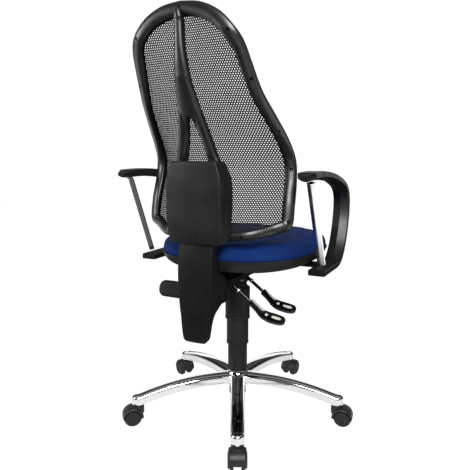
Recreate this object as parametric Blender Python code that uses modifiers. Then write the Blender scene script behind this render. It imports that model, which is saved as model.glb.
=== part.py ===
"""Swivel office chair with a mesh back, loop armrests and a chromed five-star base.

Metres, +Z up. The sitter faces -Y, so +Y is the rear and +X is the sitter's left.
Everything hangs on the empty "chair", which stands on the axis of the gas lift.
"""

import math

import bmesh
import bpy
from mathutils import Matrix, Vector

# Where the lift axis stands, so that the whole chair's box is centred on X = Y = 0.
LIFT_AXIS = Vector((0.016, 0.012, 0.0))

# Star base and casters
ARMS = 5
BASE_TURN = math.radians(115.5)
CASTER_RADIUS = 0.302
ARM_HALF_WIDTH = 0.0185
ARM_TOP = 0.120
ARM_DEPTH = 0.027
ARM_DROP = 0.69
HUB_RADIUS = 0.0325
HUB_BOTTOM = 0.080
HUB_TOP = 0.1295
WHEEL_RADIUS = 0.025
WHEEL_INNER_FACE = 0.0098
WHEEL_OUTER_FACE = 0.0243
CASTER_TRAIL = 0.018
HOOD_RADIUS = 0.0292
HOOD_SHIFT = 0.0015
WHEEL_WELL_RADIUS = 0.0260
HOOD_HALF_WIDTH = 0.0228
HOOD_CHAMFER = 0.0045
WEB_HALF_WIDTH = 0.0092
HOOD_TOP = 0.0573
AXLE_RADIUS = 0.004
STEM_RADIUS = 0.0055

# Gas lift and its telescopic covers
TUBE_RADIUS = 0.025
TUBE_TOP = 0.262
TUBE_BOTTOM = 0.050
CYLINDER_RADIUS = 0.014
CYLINDER_TOP = 0.430
ROD_RADIUS = 0.005
COVER_WALL = 0.0015

# Tilt mechanism
HOUSING_BOTTOM = 0.400
HOUSING_TOP = 0.436
HOUSING_HALF_WIDTH = 0.042
BACK_PIVOT = Vector((0.0, 0.045, 0.420))
SEAT_PIVOT = Vector((0.0, -0.075, 0.444))
KNOB_AXIS = Vector((0.0, 0.105, 0.383))
LEVER_ROOTS = {"height": Vector((-0.046, 0.030, 0.424)), "tilt": Vector((-0.047, 0.118, 0.4165))}
GAP = 0.0003

# Seat
SEAT_HALF_WIDTH = 0.236
SEAT_FRONT = -0.284
SEAT_REAR = 0.197
SHELL_BOTTOM = 0.4620
SEAM_HEIGHT = 0.500
SEAT_TOP = 0.542

# Armrests
ARMREST_X = 0.2635
ARM_BAND_WIDTH = 0.047
ARM_BAND_THICKNESS = 0.023

# Back: half of the frame's outer edge from bottom centre to top centre, as
# (x, y, z, width of the band, degrees that the band wraps round the sitter)
BACK_EDGE = (
    (0.000, 0.200, 0.555, 0.025, 0),
    (0.070, 0.200, 0.555, 0.025, 5),
    (0.126, 0.187, 0.560, 0.026, 15),
    (0.178, 0.143, 0.573, 0.028, 25),
    (0.211, 0.124, 0.590, 0.031, 28),
    (0.215, 0.113, 0.645, 0.032, 25),
    (0.213, 0.095, 0.710, 0.032, 22),
    (0.209, 0.094, 0.762, 0.032, 18),
    (0.200, 0.124, 0.812, 0.031, 19),
    (0.185, 0.172, 0.866, 0.030, 21),
    (0.169, 0.220, 0.920, 0.030, 21),
    (0.158, 0.257, 0.980, 0.030, 12),
    (0.149, 0.280, 1.022, 0.031, 7),
    (0.131, 0.296, 1.054, 0.032, 4),
    (0.097, 0.300, 1.088, 0.033, 2),
    (0.051, 0.301, 1.110, 0.034, 0),
    (0.000, 0.301, 1.117, 0.034, 0),
)
FRAME_THICKNESS = 0.016
MESH_THICKNESS = 0.0016
# Depth of the mesh on the centre line, as (z, y)
MESH_CENTRE = (
    (0.555, 0.1885),
    (0.600, 0.1885),
    (0.660, 0.186),
    (0.740, 0.184),
    (0.820, 0.210),
    (0.920, 0.255),
    (1.000, 0.276),
    (1.117, 0.2885),
)
BAR_HALF_WIDTH = 0.020
BAR_THICKNESS = 0.006
BAR_REAR = 0.242
BAR_TOP = 0.735


# ---------------------------------------------------------------- scene and helpers


def clear_scene():
    for obj in list(bpy.data.objects):
        bpy.data.objects.remove(obj, do_unlink=True)


def new_collection(name):
    collection = bpy.data.collections.new(name)
    bpy.context.scene.collection.children.link(collection)
    return collection


def new_material(name, colour, roughness, metallic=0.0):
    material = bpy.data.materials.new(name)
    material.use_nodes = True
    surface = material.node_tree.nodes["Principled BSDF"]
    surface.inputs["Base Color"].default_value = (*colour, 1.0)
    surface.inputs["Roughness"].default_value = roughness
    surface.inputs["Metallic"].default_value = metallic
    return material


def mesh_from(bm, name):
    bmesh.ops.recalc_face_normals(bm, faces=bm.faces)
    mesh = bpy.data.meshes.new(name)
    bm.to_mesh(mesh)
    bm.free()
    return mesh


def new_holder(name, position, parent=None, turn=0.0):
    """An empty on a joint's axis; position is in the frame of its parent."""
    holder = bpy.data.objects.new(name, None)
    holder.empty_display_size = 0.03
    CHAIR.objects.link(holder)
    holder.parent = parent
    holder.location = position
    holder.rotation_euler.z = turn
    return holder


def place(name, mesh, material, holder, location=(0.0, 0.0, 0.0), rotation=(0.0, 0.0, 0.0)):
    obj = bpy.data.objects.new(name, mesh)
    CHAIR.objects.link(obj)
    obj.parent = holder
    obj.location = location
    obj.rotation_euler = rotation
    if not mesh.materials:
        mesh.materials.append(material)
    return obj


def place_on(name, mesh, material, joint):
    """Places a mesh drawn in the chair's frame under a holder that stands on a joint's axis."""
    return place(name, mesh, material, joint, location=-joint.location)


def boolean(obj, mesh, operation, rotation=(0.0, 0.0, 0.0)):
    helper = bpy.data.objects.new(f"{obj.name}.{operation.lower()}", mesh)
    HELPERS.objects.link(helper)
    helper.parent = obj.parent
    helper.location = obj.location
    helper.rotation_euler = rotation
    helper.hide_render = True
    helper.display_type = "WIRE"
    modifier = obj.modifiers.new(operation.title(), "BOOLEAN")
    modifier.operation = operation
    modifier.object = helper


def smooth_shade(obj, angle=35):
    obj.data.shade_smooth()
    obj.data.set_sharp_from_angle(angle=math.radians(angle))


def box(low, high, name="box"):
    low, high = Vector(low), Vector(high)
    bm = bmesh.new()
    bmesh.ops.create_cube(bm, size=1.0)
    bmesh.ops.scale(bm, vec=high - low, verts=bm.verts)
    bmesh.ops.translate(bm, vec=(low + high) / 2, verts=bm.verts)
    return mesh_from(bm, name)


def cylinder(start, end, radius, segments=20, end_radius=None, name="cylinder"):
    start, end = Vector(start), Vector(end)
    along = end - start
    turn = Vector((0, 0, 1)).rotation_difference(along).to_matrix().to_4x4()
    bm = bmesh.new()
    bmesh.ops.create_cone(
        bm,
        cap_ends=True,
        segments=segments,
        radius1=radius,
        radius2=radius if end_radius is None else end_radius,
        depth=along.length,
        matrix=Matrix.Translation((start + end) / 2) @ turn,
    )
    return mesh_from(bm, name)


def turned(name, profile, material, holder, steps=24, closed=True, **where):
    """A turned piece: profile points (radius, height) run down the outer side."""
    mesh = bpy.data.meshes.new(name)
    edges = [(i, i + 1) for i in range(len(profile) - 1)]
    if closed:
        edges.append((len(profile) - 1, 0))
    mesh.from_pydata([(radius, 0.0, height) for radius, height in profile], edges, [])
    obj = place(name, mesh, material, holder, **where)
    screw = obj.modifiers.new("Screw", "SCREW")
    screw.steps = screw.render_steps = steps
    screw.use_merge_vertices = True
    screw.merge_threshold = 0.00001
    return obj


def loft(rings, closed_path=False, name="loft"):
    """Skins rings of equal point counts; an open path gets flat ends."""
    bm = bmesh.new()
    loops = [[bm.verts.new(point) for point in ring] for ring in rings]
    pairs = list(zip(loops, loops[1:]))
    if closed_path:
        pairs.append((loops[-1], loops[0]))
    else:
        bm.faces.new(loops[0])
        bm.faces.new(loops[-1])
    for first, second in pairs:
        for i in range(len(first)):
            j = (i + 1) % len(first)
            bm.faces.new((first[i], first[j], second[j], second[i]))
    return mesh_from(bm, name)


def prism(outline, low, high, axis=1, name="prism"):
    """An outline of two coordinates pushed along the third axis from low to high."""
    def at(point, depth):
        coordinates = list(point)
        coordinates.insert(axis, depth)
        return Vector(coordinates)

    return loft([[at(p, low) for p in outline], [at(p, high) for p in outline]], name=name)


def arc(centre, radius, first, last, count):
    """Points of an arc; angles in degrees."""
    angles = [math.radians(first + (last - first) * i / (count - 1)) for i in range(count)]
    return [(centre[0] + radius * math.cos(a), centre[1] + radius * math.sin(a)) for a in angles]


def mix(a, b, t):
    return a + (b - a) * t


def smooth_row(rows, steps):
    """Catmull-Rom points through rows of numbers, with steps points a span."""
    rows = [list(row) for row in rows]
    result = []
    for i in range(len(rows) - 1):
        before, first = rows[max(i - 1, 0)], rows[i]
        second, after = rows[i + 1], rows[min(i + 2, len(rows) - 1)]
        for k in range(steps):
            t = k / steps
            weights = (-t + 2 * t**2 - t**3, 2 - 5 * t**2 + 3 * t**3)
            weights += (t + 4 * t**2 - 3 * t**3, t**3 - t**2)
            columns = zip(before, first, second, after)
            result.append([sum(w * v for w, v in zip(weights, column)) / 2 for column in columns])
    result.append(rows[-1])
    return result


def read_off(table, value):
    """Straight-line reading of a table of (key, result)."""
    for (low, first), (high, second) in zip(table, table[1:]):
        if value <= high:
            return mix(first, second, min(max((value - low) / (high - low), 0.0), 1.0))
    return table[-1][1]


def sweep(path, section, start_width=1.0, name="sweep"):
    """Sweeps a section of (x offset, offset along the path's normal) along a path in a YZ plane.

    Path points are (x, y, z); the section turns with the path and stays square to it. The first
    ring's width is scaled by start_width.
    """
    points = [Vector(p) for p in path]
    rings = []
    for i, point in enumerate(points):
        ahead = points[min(i + 1, len(points) - 1)] - points[i]
        behind = points[i] - points[max(i - 1, 0)]
        directions = [d.normalized() for d in (behind, ahead) if d.length > 0]
        along = sum(directions, Vector()).normalized()
        normal = Vector((0.0, -along.z, along.y)).normalized()
        stretch = 1.0 / max(along.dot(directions[0]), 0.5)
        width = start_width if i == 0 else 1.0
        rings.append([point + Vector((u * width, 0, 0)) + normal * v * stretch for u, v in section])
    return loft(rings, name=name)


# ---------------------------------------------------------------- star base and casters


def arm_top(radius):
    """The arch of the arms, level over the caster sockets."""
    return ARM_TOP - ARM_DROP * max(min(radius, CASTER_RADIUS - 0.003) - 0.08, 0.0) ** 2


def base_arm(angle):
    """One arched arm with rounded top edges and a half-round tip."""
    stations = [0.010, 0.05, 0.09, 0.13, 0.17, 0.21, 0.25, 0.28]
    stations += [CASTER_RADIUS + ARM_HALF_WIDTH * s for s in (0.0, 0.40, 0.72, 0.92, 0.995)]
    outward = Vector((math.cos(angle), math.sin(angle), 0.0))
    across = Vector((-outward.y, outward.x, 0.0))
    rings = []
    for radius in stations:
        beyond = max(radius - CASTER_RADIUS, 0.0)
        half = math.sqrt(ARM_HALF_WIDTH**2 - beyond**2)
        half += 0.004 * max(1.0 - radius / 0.20, 0.0)
        top = arm_top(radius)
        bottom = top - ARM_DEPTH
        edge = min(0.005, half * 0.6)
        outline = [(-half, bottom), (half, bottom), (half, top - edge), (half - edge, top)]
        outline += [(edge - half, top), (-half, top - edge)]
        rings.append([outward * radius + across * u + Vector((0, 0, z)) for u, z in outline])
    return loft(rings, name="base_arm")


def build_base(base):
    hub = [(0.0285, HUB_TOP), (0.0300, ARM_TOP + 0.004), (HUB_RADIUS, ARM_TOP)]
    hub += [(HUB_RADIUS, HUB_BOTTOM + 0.004), (HUB_RADIUS - 0.003, HUB_BOTTOM)]
    hub += [(TUBE_RADIUS + GAP, HUB_BOTTOM), (TUBE_RADIUS + GAP, HUB_TOP)]
    star = turned("star_base", hub, CHROME, base, steps=24)
    for i in range(ARMS):
        boolean(star, base_arm(BASE_TURN + i * math.tau / ARMS), "UNION")
    boolean(star, cylinder((0, 0, 0.03), (0, 0, 0.2), TUBE_RADIUS + GAP, 24), "DIFFERENCE")
    for i in range(ARMS):
        angle = BASE_TURN + i * math.tau / ARMS
        foot = Vector((math.cos(angle), math.sin(angle), 0.0)) * CASTER_RADIUS
        low, high = foot + Vector((0, 0, 0.04)), foot + Vector((0, 0, 0.0775))
        boolean(star, cylinder(low, high, STEM_RADIUS + GAP, 16), "DIFFERENCE")


def caster_hood(name, caster):
    """Wheel guard with a central web, a stem boss and two open wheel wells."""
    axle, crown = (CASTER_TRAIL, WHEEL_RADIUS), (CASTER_TRAIL - HOOD_SHIFT, WHEEL_RADIUS)
    rings = []
    for y, cut in ((-1, HOOD_CHAMFER), (-1, 0.0), (1, 0.0), (1, HOOD_CHAMFER)):
        depth = y * (HOOD_HALF_WIDTH - HOOD_CHAMFER + cut)
        outline = arc(crown, HOOD_RADIUS - cut * 0.8, -6, 186, 13) + arc(axle, 0.012, 200, 340, 5)
        rings.append([Vector((x, depth, z)) for x, z in outline])
    hood = place(name, loft(rings), CASTER_PLASTIC, caster)
    boolean(hood, cylinder((0, 0, 0.034), (0, 0, HOOD_TOP), 0.0165, 16, 0.0165), "UNION")
    for side in (-1, 1):
        start = (CASTER_TRAIL, side * WEB_HALF_WIDTH, WHEEL_RADIUS)
        end = (CASTER_TRAIL, side * 0.030, WHEEL_RADIUS)
        boolean(hood, cylinder(start, end, WHEEL_WELL_RADIUS, 20), "DIFFERENCE")
    across = [(CASTER_TRAIL, side * 0.02, WHEEL_RADIUS) for side in (-1, 1)]
    boolean(hood, cylinder(*across, AXLE_RADIUS + GAP, 12), "DIFFERENCE")
    boolean(hood, cylinder((0, 0, 0.0455), (0, 0, 0.07), STEM_RADIUS + GAP, 12), "DIFFERENCE")


def caster_wheel(name, axle, side):
    profile = [(AXLE_RADIUS + GAP, WHEEL_OUTER_FACE), (0.016, WHEEL_OUTER_FACE)]
    profile += [(0.0225, WHEEL_OUTER_FACE - 0.0013), (WHEEL_RADIUS, WHEEL_OUTER_FACE - 0.004)]
    profile += [(WHEEL_RADIUS, WHEEL_INNER_FACE + 0.0015), (WHEEL_RADIUS - 0.0015, WHEEL_INNER_FACE)]
    profile += [(AXLE_RADIUS + GAP, WHEEL_INNER_FACE)]
    rotation = (-side * math.pi / 2, 0.0, 0.0)
    turned(name, profile, CASTER_PLASTIC, axle, steps=20, rotation=rotation)


def build_casters(chair):
    for i in range(ARMS):
        angle = BASE_TURN + i * math.tau / ARMS
        foot = Vector((math.cos(angle), math.sin(angle), 0.0)) * CASTER_RADIUS
        name = f"caster_{i + 1}"
        caster = new_holder(f"{name}_swivel", foot, chair, angle)
        axle = new_holder(f"{name}_axis", (CASTER_TRAIL, 0.0, WHEEL_RADIUS), caster)
        stem = [(0.0, 0.0765), (STEM_RADIUS - 0.001, 0.0765), (STEM_RADIUS, 0.0755)]
        stem += [(STEM_RADIUS, 0.0459), (0.0, 0.0459)]
        turned(f"{name}_stem", stem, STEEL, caster, steps=12, closed=False)
        caster_hood(f"{name}_hood", caster)
        ends = [(0.0, side * 0.0225, 0.0) for side in (-1, 1)]
        place(f"{name}_axle", cylinder(*ends, AXLE_RADIUS, 12), STEEL, axle)
        caster_wheel(f"{name}_wheel_left", axle, 1)
        caster_wheel(f"{name}_wheel_right", axle, -1)


# ---------------------------------------------------------------- gas lift and covers


def tube_profile(outer, inner, bottom, top):
    return [(outer, top), (outer, bottom), (inner, bottom), (inner, top)]


def build_lift(base, column, chassis, middle):
    inner = TUBE_RADIUS - 0.002
    floor = TUBE_BOTTOM + 0.006
    rod_hole = ROD_RADIUS + GAP
    tube = [(TUBE_RADIUS, TUBE_TOP), (TUBE_RADIUS, TUBE_BOTTOM + 0.004), (0.022, TUBE_BOTTOM)]
    tube += [(rod_hole, TUBE_BOTTOM), (rod_hole, floor), (inner, floor), (inner, TUBE_TOP)]
    turned("lift_outer_tube", tube, BLACK_STEEL, base)
    bush = tube_profile(inner - GAP, CYLINDER_RADIUS + GAP, 0.190, TUBE_TOP - 0.001)
    turned("lift_guide_bush", bush, DARK_PLASTIC, base)
    bearing = tube_profile(0.012, rod_hole, floor + GAP, floor + 0.008)
    turned("lift_thrust_bearing", bearing, STEEL, column, steps=20)
    rod = [(0.0, 0.280), (ROD_RADIUS, 0.280), (ROD_RADIUS, 0.046), (0.0, 0.046)]
    turned("lift_piston_rod", rod, STEEL, column, steps=12, closed=False)
    cylinder_tube = [(0.0, CYLINDER_TOP), (CYLINDER_RADIUS - 0.001, CYLINDER_TOP)]
    cylinder_tube += [(CYLINDER_RADIUS, CYLINDER_TOP - 0.002), (CYLINDER_RADIUS, 0.200)]
    cylinder_tube += [(0.011, 0.200), (0.011, 0.415), (0.0, 0.415)]
    turned("lift_inner_cylinder", cylinder_tube, STEEL, chassis, steps=20, closed=False)

    lower = tube_profile(0.0288, 0.0288 - COVER_WALL, 0.1305, 0.250)
    turned("column_cover_lower", lower, COVER_PLASTIC, base)
    middle_profile = tube_profile(0.0325, 0.0325 - COVER_WALL, 0.212, 0.308)
    turned("column_cover_middle", middle_profile, COVER_PLASTIC, middle)
    upper = [(0.0275, 0.3985), (0.0285, 0.389), (0.0360, 0.385), (0.0372, 0.380), (0.0365, 0.290)]
    upper += [(0.0350, 0.290), (0.0355, 0.379), (0.0270, 0.3845), (0.0260, 0.3985)]
    turned("column_cover_upper", upper, COVER_PLASTIC, chassis)


# ---------------------------------------------------------------- tilt mechanism


def build_mechanism(chassis):
    half, step = HOUSING_HALF_WIDTH, HOUSING_BOTTOM + 0.024
    upper_body = box((-half, -0.090, step), (half, 0.126, HOUSING_TOP))
    housing = place("mechanism_housing", upper_body, BLACK_STEEL, chassis)
    boolean(housing, box((-0.026, -0.0245, HOUSING_BOTTOM), (0.026, 0.1255, step + 0.006)), "UNION")
    knob_y, knob_z = KNOB_AXIS.y, KNOB_AXIS.z
    trough = box((-0.010, knob_y - 0.021, knob_z - 0.019), (0.056, knob_y + 0.020, 0.4255))
    boolean(housing, trough, "UNION")
    for side in (-1, 1):
        low, high = sorted((side * 0.033, side * (half - 0.0005)))
        boolean(housing, box((low, -0.088, 0.428), (high, -0.062, 0.4490)), "UNION")
    boolean(housing, box((-0.0315, -0.0895, step + 0.004), (0.0315, 0.140, 0.450)), "DIFFERENCE")
    boolean(housing, box((-0.0225, -0.0215, 0.4045), (0.0225, 0.140, 0.450)), "DIFFERENCE")
    pocket = box((-0.004, knob_y - 0.016, knob_z - 0.014), (0.050, knob_y + 0.016, 0.428))
    boolean(housing, pocket, "DIFFERENCE")
    # room for the J-bar to swing down through the floor as the back tilts
    boolean(housing, box((-0.0225, 0.062, 0.3955), (0.0225, 0.107, 0.4250)), "DIFFERENCE")
    boolean(housing, box((-0.0226, 0.106, 0.3875), (0.0226, 0.141, 0.4252)), "DIFFERENCE")
    boolean(housing, cylinder((0, 0, 0.402), (0, 0, HOUSING_TOP - 0.002), 0.021, 20), "UNION")
    boolean(housing, cylinder((0, 0, 0.39), (0, 0, 0.45), CYLINDER_RADIUS + GAP, 20), "DIFFERENCE")
    for centre, radius in ((BACK_PIVOT, 0.0063), (SEAT_PIVOT, 0.0043)):
        ends = [centre + Vector((side * 0.08, 0, 0)) for side in (-1, 1)]
        boolean(housing, cylinder(*ends, radius, 14), "DIFFERENCE")
    boolean(housing, cylinder(KNOB_AXIS, KNOB_AXIS + Vector((0.08, 0, 0)), 0.0063, 14), "DIFFERENCE")

    for name, centre, radius in (("back_pivot_axle", BACK_PIVOT, 0.006), ("seat_pivot_axle", SEAT_PIVOT, 0.004)):
        ends = [centre + Vector((side * 0.0415, 0, 0)) for side in (-1, 1)]
        place(name, cylinder(*ends, radius, 14), STEEL, chassis)

    turns, radius, length, middle = 5, 0.0105, 0.048, 0.023
    helix = bpy.data.curves.new("tension_spring", "CURVE")
    helix.dimensions = "3D"
    helix.bevel_depth = 0.0013
    helix.bevel_resolution = 1
    helix.use_fill_caps = True
    count = turns * 10
    spline = helix.splines.new("POLY")
    spline.points.add(count)
    for i in range(count + 1):
        angle = i / 10 * math.tau
        x = middle + (i / count - 0.5) * length
        y, z = radius * math.cos(angle), radius * math.sin(angle)
        spline.points[i].co = (x, KNOB_AXIS.y + y, KNOB_AXIS.z + z, 1.0)
    spring = bpy.data.objects.new("tension_spring", helix)
    CHAIR.objects.link(spring)
    spring.parent = chassis
    helix.materials.append(STEEL)


def build_knob(knob_joint):
    """Handwheel moulded round the end of the tension screw."""
    inner_end, knob_start, knob_end = -0.003, 0.090, 0.197
    profile = [(0.0, knob_end), (0.014, knob_end), (0.0210, knob_end - 0.003), (0.0243, knob_end - 0.010)]
    profile += [(0.0247, knob_start + 0.02), (0.0225, knob_start + 0.004), (0.018, knob_start)]
    profile += [(0.006, knob_start), (0.006, inner_end), (0.0, inner_end)]
    turned("tension_knob", profile, COVER_PLASTIC, knob_joint, steps=24, closed=False,
           rotation=(0.0, math.pi / 2, 0.0))


def paddle(start):
    """A flat S-curved finger paddle that runs outwards and down, its broad face turned to the rear."""
    stations = (
        (0.0000, 0.0000, 0.0062, 0.0056),
        (-0.0190, -0.0160, 0.0068, 0.0058),
        (-0.0340, -0.0277, 0.0098, 0.0062),
        (-0.0480, -0.0330, 0.0118, 0.0064),
        (-0.0620, -0.0356, 0.0124, 0.0064),
        (-0.0760, -0.0378, 0.0124, 0.0062),
        (-0.0880, -0.0388, 0.0112, 0.0052),
        (-0.0955, -0.0388, 0.0075, 0.0034),
    )
    lean = math.radians(38)
    corners = ((-1, -0.5), (-0.75, -1), (0.75, -1), (1, -0.5), (1, 0.6), (0.85, 1), (-0.85, 1), (-1, 0.6))
    rings = []
    for i, (x, z, half, thick) in enumerate(stations):
        before, after = stations[max(i - 1, 0)], stations[min(i + 1, len(stations) - 1)]
        along = Vector((after[0] - before[0], 0, after[1] - before[1])).normalized()
        upright = Vector((along.z, 0, -along.x))
        normal = upright * math.cos(lean) + Vector((0, math.sin(lean), 0))
        across = Vector((0, math.cos(lean), 0)) - upright * math.sin(lean)
        centre = start + Vector((x, 0, z))
        rings.append([centre + across * a * half + normal * b * thick for a, b in corners])
    return loft(rings, name="paddle")


def build_lever(kind, joint):
    root = LEVER_ROOTS[kind]
    rod_end = root + Vector((-0.050, 0.0, -0.038))
    along = (rod_end - root).normalized()
    curve = bpy.data.curves.new(f"{kind}_lever_rod", "CURVE")
    curve.dimensions = "3D"
    curve.bevel_depth = 0.0042
    curve.bevel_resolution = 2
    curve.use_fill_caps = True
    spline = curve.splines.new("POLY")
    points = (root + Vector((0.002, 0, 0.0)), root + Vector((-0.003, 0, -0.001)), rod_end)
    spline.points.add(len(points) - 1)
    for target, point in zip(spline.points, points):
        target.co = (*(point - root), 1.0)
    rod = bpy.data.objects.new(f"{kind}_lever_rod", curve)
    CHAIR.objects.link(rod)
    rod.parent = joint
    curve.materials.append(LEVER_STEEL)
    mesh = paddle(rod_end + along * 0.0012)
    place_on(f"{kind}_lever_paddle", mesh, GLOSS_PLASTIC, joint)


# ---------------------------------------------------------------- seat


def seat_outline(inset, height, count=32):
    """Rounded plan of the seat, narrower towards the rear, inset by a margin."""
    middle = (SEAT_FRONT + SEAT_REAR) / 2
    half_depth = (SEAT_REAR - SEAT_FRONT) / 2 - inset
    half_width = SEAT_HALF_WIDTH - inset
    points = []
    for i in range(count):
        angle = math.tau * i / count
        c, s = math.cos(angle), math.sin(angle)
        x = half_width * math.copysign(abs(c) ** 0.72, c)
        y = middle + half_depth * math.copysign(abs(s) ** 0.72, s)
        taper = 1.0 - 0.17 * max((y + 0.10) / 0.33, 0.0) ** 1.5
        points.append(Vector((x * taper, y, height)))
    return points


def build_seat(seat):
    wall = 0.003
    rings = [seat_outline(inset, z) for inset, z in (
        (0.050, SHELL_BOTTOM), (0.026, SHELL_BOTTOM + 0.006), (0.010, SHELL_BOTTOM + 0.020),
        (0.001, SEAM_HEIGHT), (0.001 + wall, SEAM_HEIGHT), (0.013, SHELL_BOTTOM + 0.022),
        (0.029, SHELL_BOTTOM + 0.009), (0.051, SHELL_BOTTOM + 0.003))]
    smooth_shade(place_on("seat_shell", loft(rings), SHELL_PLASTIC, seat))

    board_bottom = SHELL_BOTTOM + 0.0035
    rings = [seat_outline(0.052, board_bottom), seat_outline(0.052, board_bottom + 0.011)]
    place_on("seat_board", loft(rings), PLYWOOD, seat)

    cushion_bottom = board_bottom + 0.0115
    rings = [seat_outline(inset, z) for inset, z in (
        (0.029, cushion_bottom), (0.0150, SEAM_HEIGHT - 0.012), (0.0060, SEAM_HEIGHT + 0.0002),
        (0.000, SEAM_HEIGHT + 0.0010), (-0.003, 0.514), (-0.003, 0.522), (0.005, 0.533),
        (0.028, 0.5392), (0.090, SEAT_TOP), (0.170, SEAT_TOP + 0.0005))]
    smooth_shade(place_on("seat_cushion", loft(rings), BLUE_FABRIC, seat))

    plate = place_on("seat_plate", box((-0.090, -0.115, 0.4510), (0.090, 0.075, 0.4552)), BLACK_STEEL, seat)
    for side in (-1, 1):
        low, high = sorted((side * 0.0255, side * 0.0325))
        boolean(plate, box((low, -0.084, 0.4372), (high, -0.066, 0.4530)), "UNION")
    ends = [SEAT_PIVOT + Vector((side * 0.08, 0, 0)) for side in (-1, 1)]
    boolean(plate, cylinder(*ends, 0.0043, 14), "DIFFERENCE")


# ---------------------------------------------------------------- armrests


def armrest_path(side):
    """Centre line of the loop's band, from its rear tip over the top and round to the block."""
    knots = [(0.196, 0.7165), (0.170, 0.7195), (0.150, 0.7205), (0.100, 0.7215), (0.050, 0.7185)]
    knots += [(0.000, 0.7130), (-0.050, 0.7040), (-0.100, 0.6910), (-0.138, 0.6740), (-0.157, 0.650)]
    knots += [(-0.160, 0.620), (-0.153, 0.580), (-0.138, 0.540), (-0.117, 0.505), (-0.088, 0.478)]
    knots += [(-0.055, 0.4695), (-0.010, 0.4695), (0.030, 0.4695), (0.0745, 0.4695)]
    return [(side * ARMREST_X, y, z) for y, z in knots]


def build_armrest(label, side, seat):
    half, flat, ridge = ARM_BAND_WIDTH / 2, ARM_BAND_THICKNESS / 2, ARM_BAND_THICKNESS / 2
    section = [(-half, -flat + 0.003), (-half + 0.003, -flat), (half - 0.003, -flat), (half, -flat + 0.003)]
    section += [(half, flat * 0.25), (0.0, ridge), (-half, flat * 0.25)]
    points = [Vector(p) for p in armrest_path(side)]
    loop_mesh = sweep(points, section, start_width=0.45)
    loop = place_on(f"arm_loop_{label}", loop_mesh, ARM_PLASTIC, seat)
    smooth_shade(loop, 30)

    low = Vector((side * (ARMREST_X + 0.006), 0.0510, 0.4868))
    high = Vector((side * (ARMREST_X + 0.004), 0.1490, 0.7065))
    along = (high - low).normalized()
    rear = Vector((0.0, along.z, -along.y)).normalized()
    across = rear.cross(along).normalized()
    outline = [(-0.0115, 0.0), (-0.0095, 0.0035), (0.0, 0.0095), (0.0095, 0.0035), (0.0115, 0.0), (0.0, -0.0075)]
    rings = [[point + across * u + rear * v for u, v in outline] for point in (low, high)]
    place_on(f"arm_strut_{label}", loft(rings), CHROME, seat)

    outer = ARMREST_X - half - GAP
    outline = [(0.055, 0.4555), (outer, 0.4555), (outer, 0.4700), (0.232, 0.4700), (0.228, 0.4616)]
    outline += [(0.055, 0.4616)]
    bracket = prism([(side * x, z) for x, z in outline], -0.096, -0.039)
    place_on(f"arm_bracket_{label}", bracket, BLACK_STEEL, seat)


# ---------------------------------------------------------------- back


def edge_rows():
    """Smoothed half of the frame's edge, then mirrored to a whole loop."""
    half = smooth_row(BACK_EDGE, 2)
    mirrored = [[-row[0], *row[1:4], -row[4]] for row in half[-2:0:-1]]
    return half + mirrored


def frame_axes():
    """For each edge point: (edge, inward direction, rearward direction, width)."""
    rows = edge_rows()
    axes = []
    for i, (x, y, z, width, wrap) in enumerate(rows):
        before, after = Vector(rows[i - 1][:3]), Vector(rows[(i + 1) % len(rows)][:3])
        along = (after - before).normalized()
        turn = math.radians(wrap)
        rear = Vector((math.sin(turn), math.cos(turn), 0.0))
        rear = (rear - along * rear.dot(along)).normalized()
        inward = along.cross(rear).normalized()
        axes.append((Vector((x, y, z)), inward, rear, width))
    return axes


def rounded_band(width, thickness, points=10):
    """A flattened oval section, with (inward, rearward) coordinates from the outer edge."""
    section = []
    for i in range(points):
        angle = math.tau * (i + 0.5) / points
        c, s = math.cos(angle), math.sin(angle)
        inward = width / 2 * (1 - math.copysign(abs(c) ** 0.75, c))
        section.append((inward, thickness / 2 * math.copysign(abs(s) ** 0.75, s)))
    return section


def build_back_frame(back):
    rings = []
    for edge, inward, rear, width in frame_axes():
        section = rounded_band(width, FRAME_THICKNESS)
        rings.append([edge + inward * u + rear * v for u, v in section])
    smooth_shade(place_on("back_frame", loft(rings, closed_path=True), FRAME_PLASTIC, back), 60)


def build_back_mesh(back):
    """Stretched sheet: each row spans from one side of the frame to its mirror image."""
    axes = frame_axes()
    top = len(BACK_EDGE) * 2 - 2
    across = 8
    lift = -FRAME_THICKNESS / 2 - 0.0020
    rings = []
    for i in range(1, top):
        edge, inward, rear, width = axes[i]
        tuck = edge + inward * width * 0.72 + rear * lift
        if tuck.x < 0.012:
            continue
        centre_y = read_off(MESH_CENTRE, tuck.z)
        ring = []
        for depth in (0.0, -MESH_THICKNESS):
            row = []
            for k in range(across + 1):
                t = 2 * k / across - 1
                bulge = max(1 - t * t, 0.0)
                row.append(Vector((tuck.x * t, mix(tuck.y, centre_y, bulge) + depth, tuck.z)))
            ring += row if depth == 0.0 else row[::-1]
        rings.append(ring)
    smooth_shade(place_on("back_mesh", loft(rings), MESH_FABRIC, back), 60)


def spine_section(x, y, z, half, depth):
    """A section with a crowned rear face; v counts forwards in depths of the rib."""
    outline = [(-half, -0.35), (-0.75 * half, -0.06), (0.0, 0.0), (0.75 * half, -0.06), (half, -0.35)]
    outline += [(half * 0.92, -1.0), (-half * 0.92, -1.0)]
    return [Vector((x + u, y + v * depth, z)) for u, v in outline]


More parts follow.
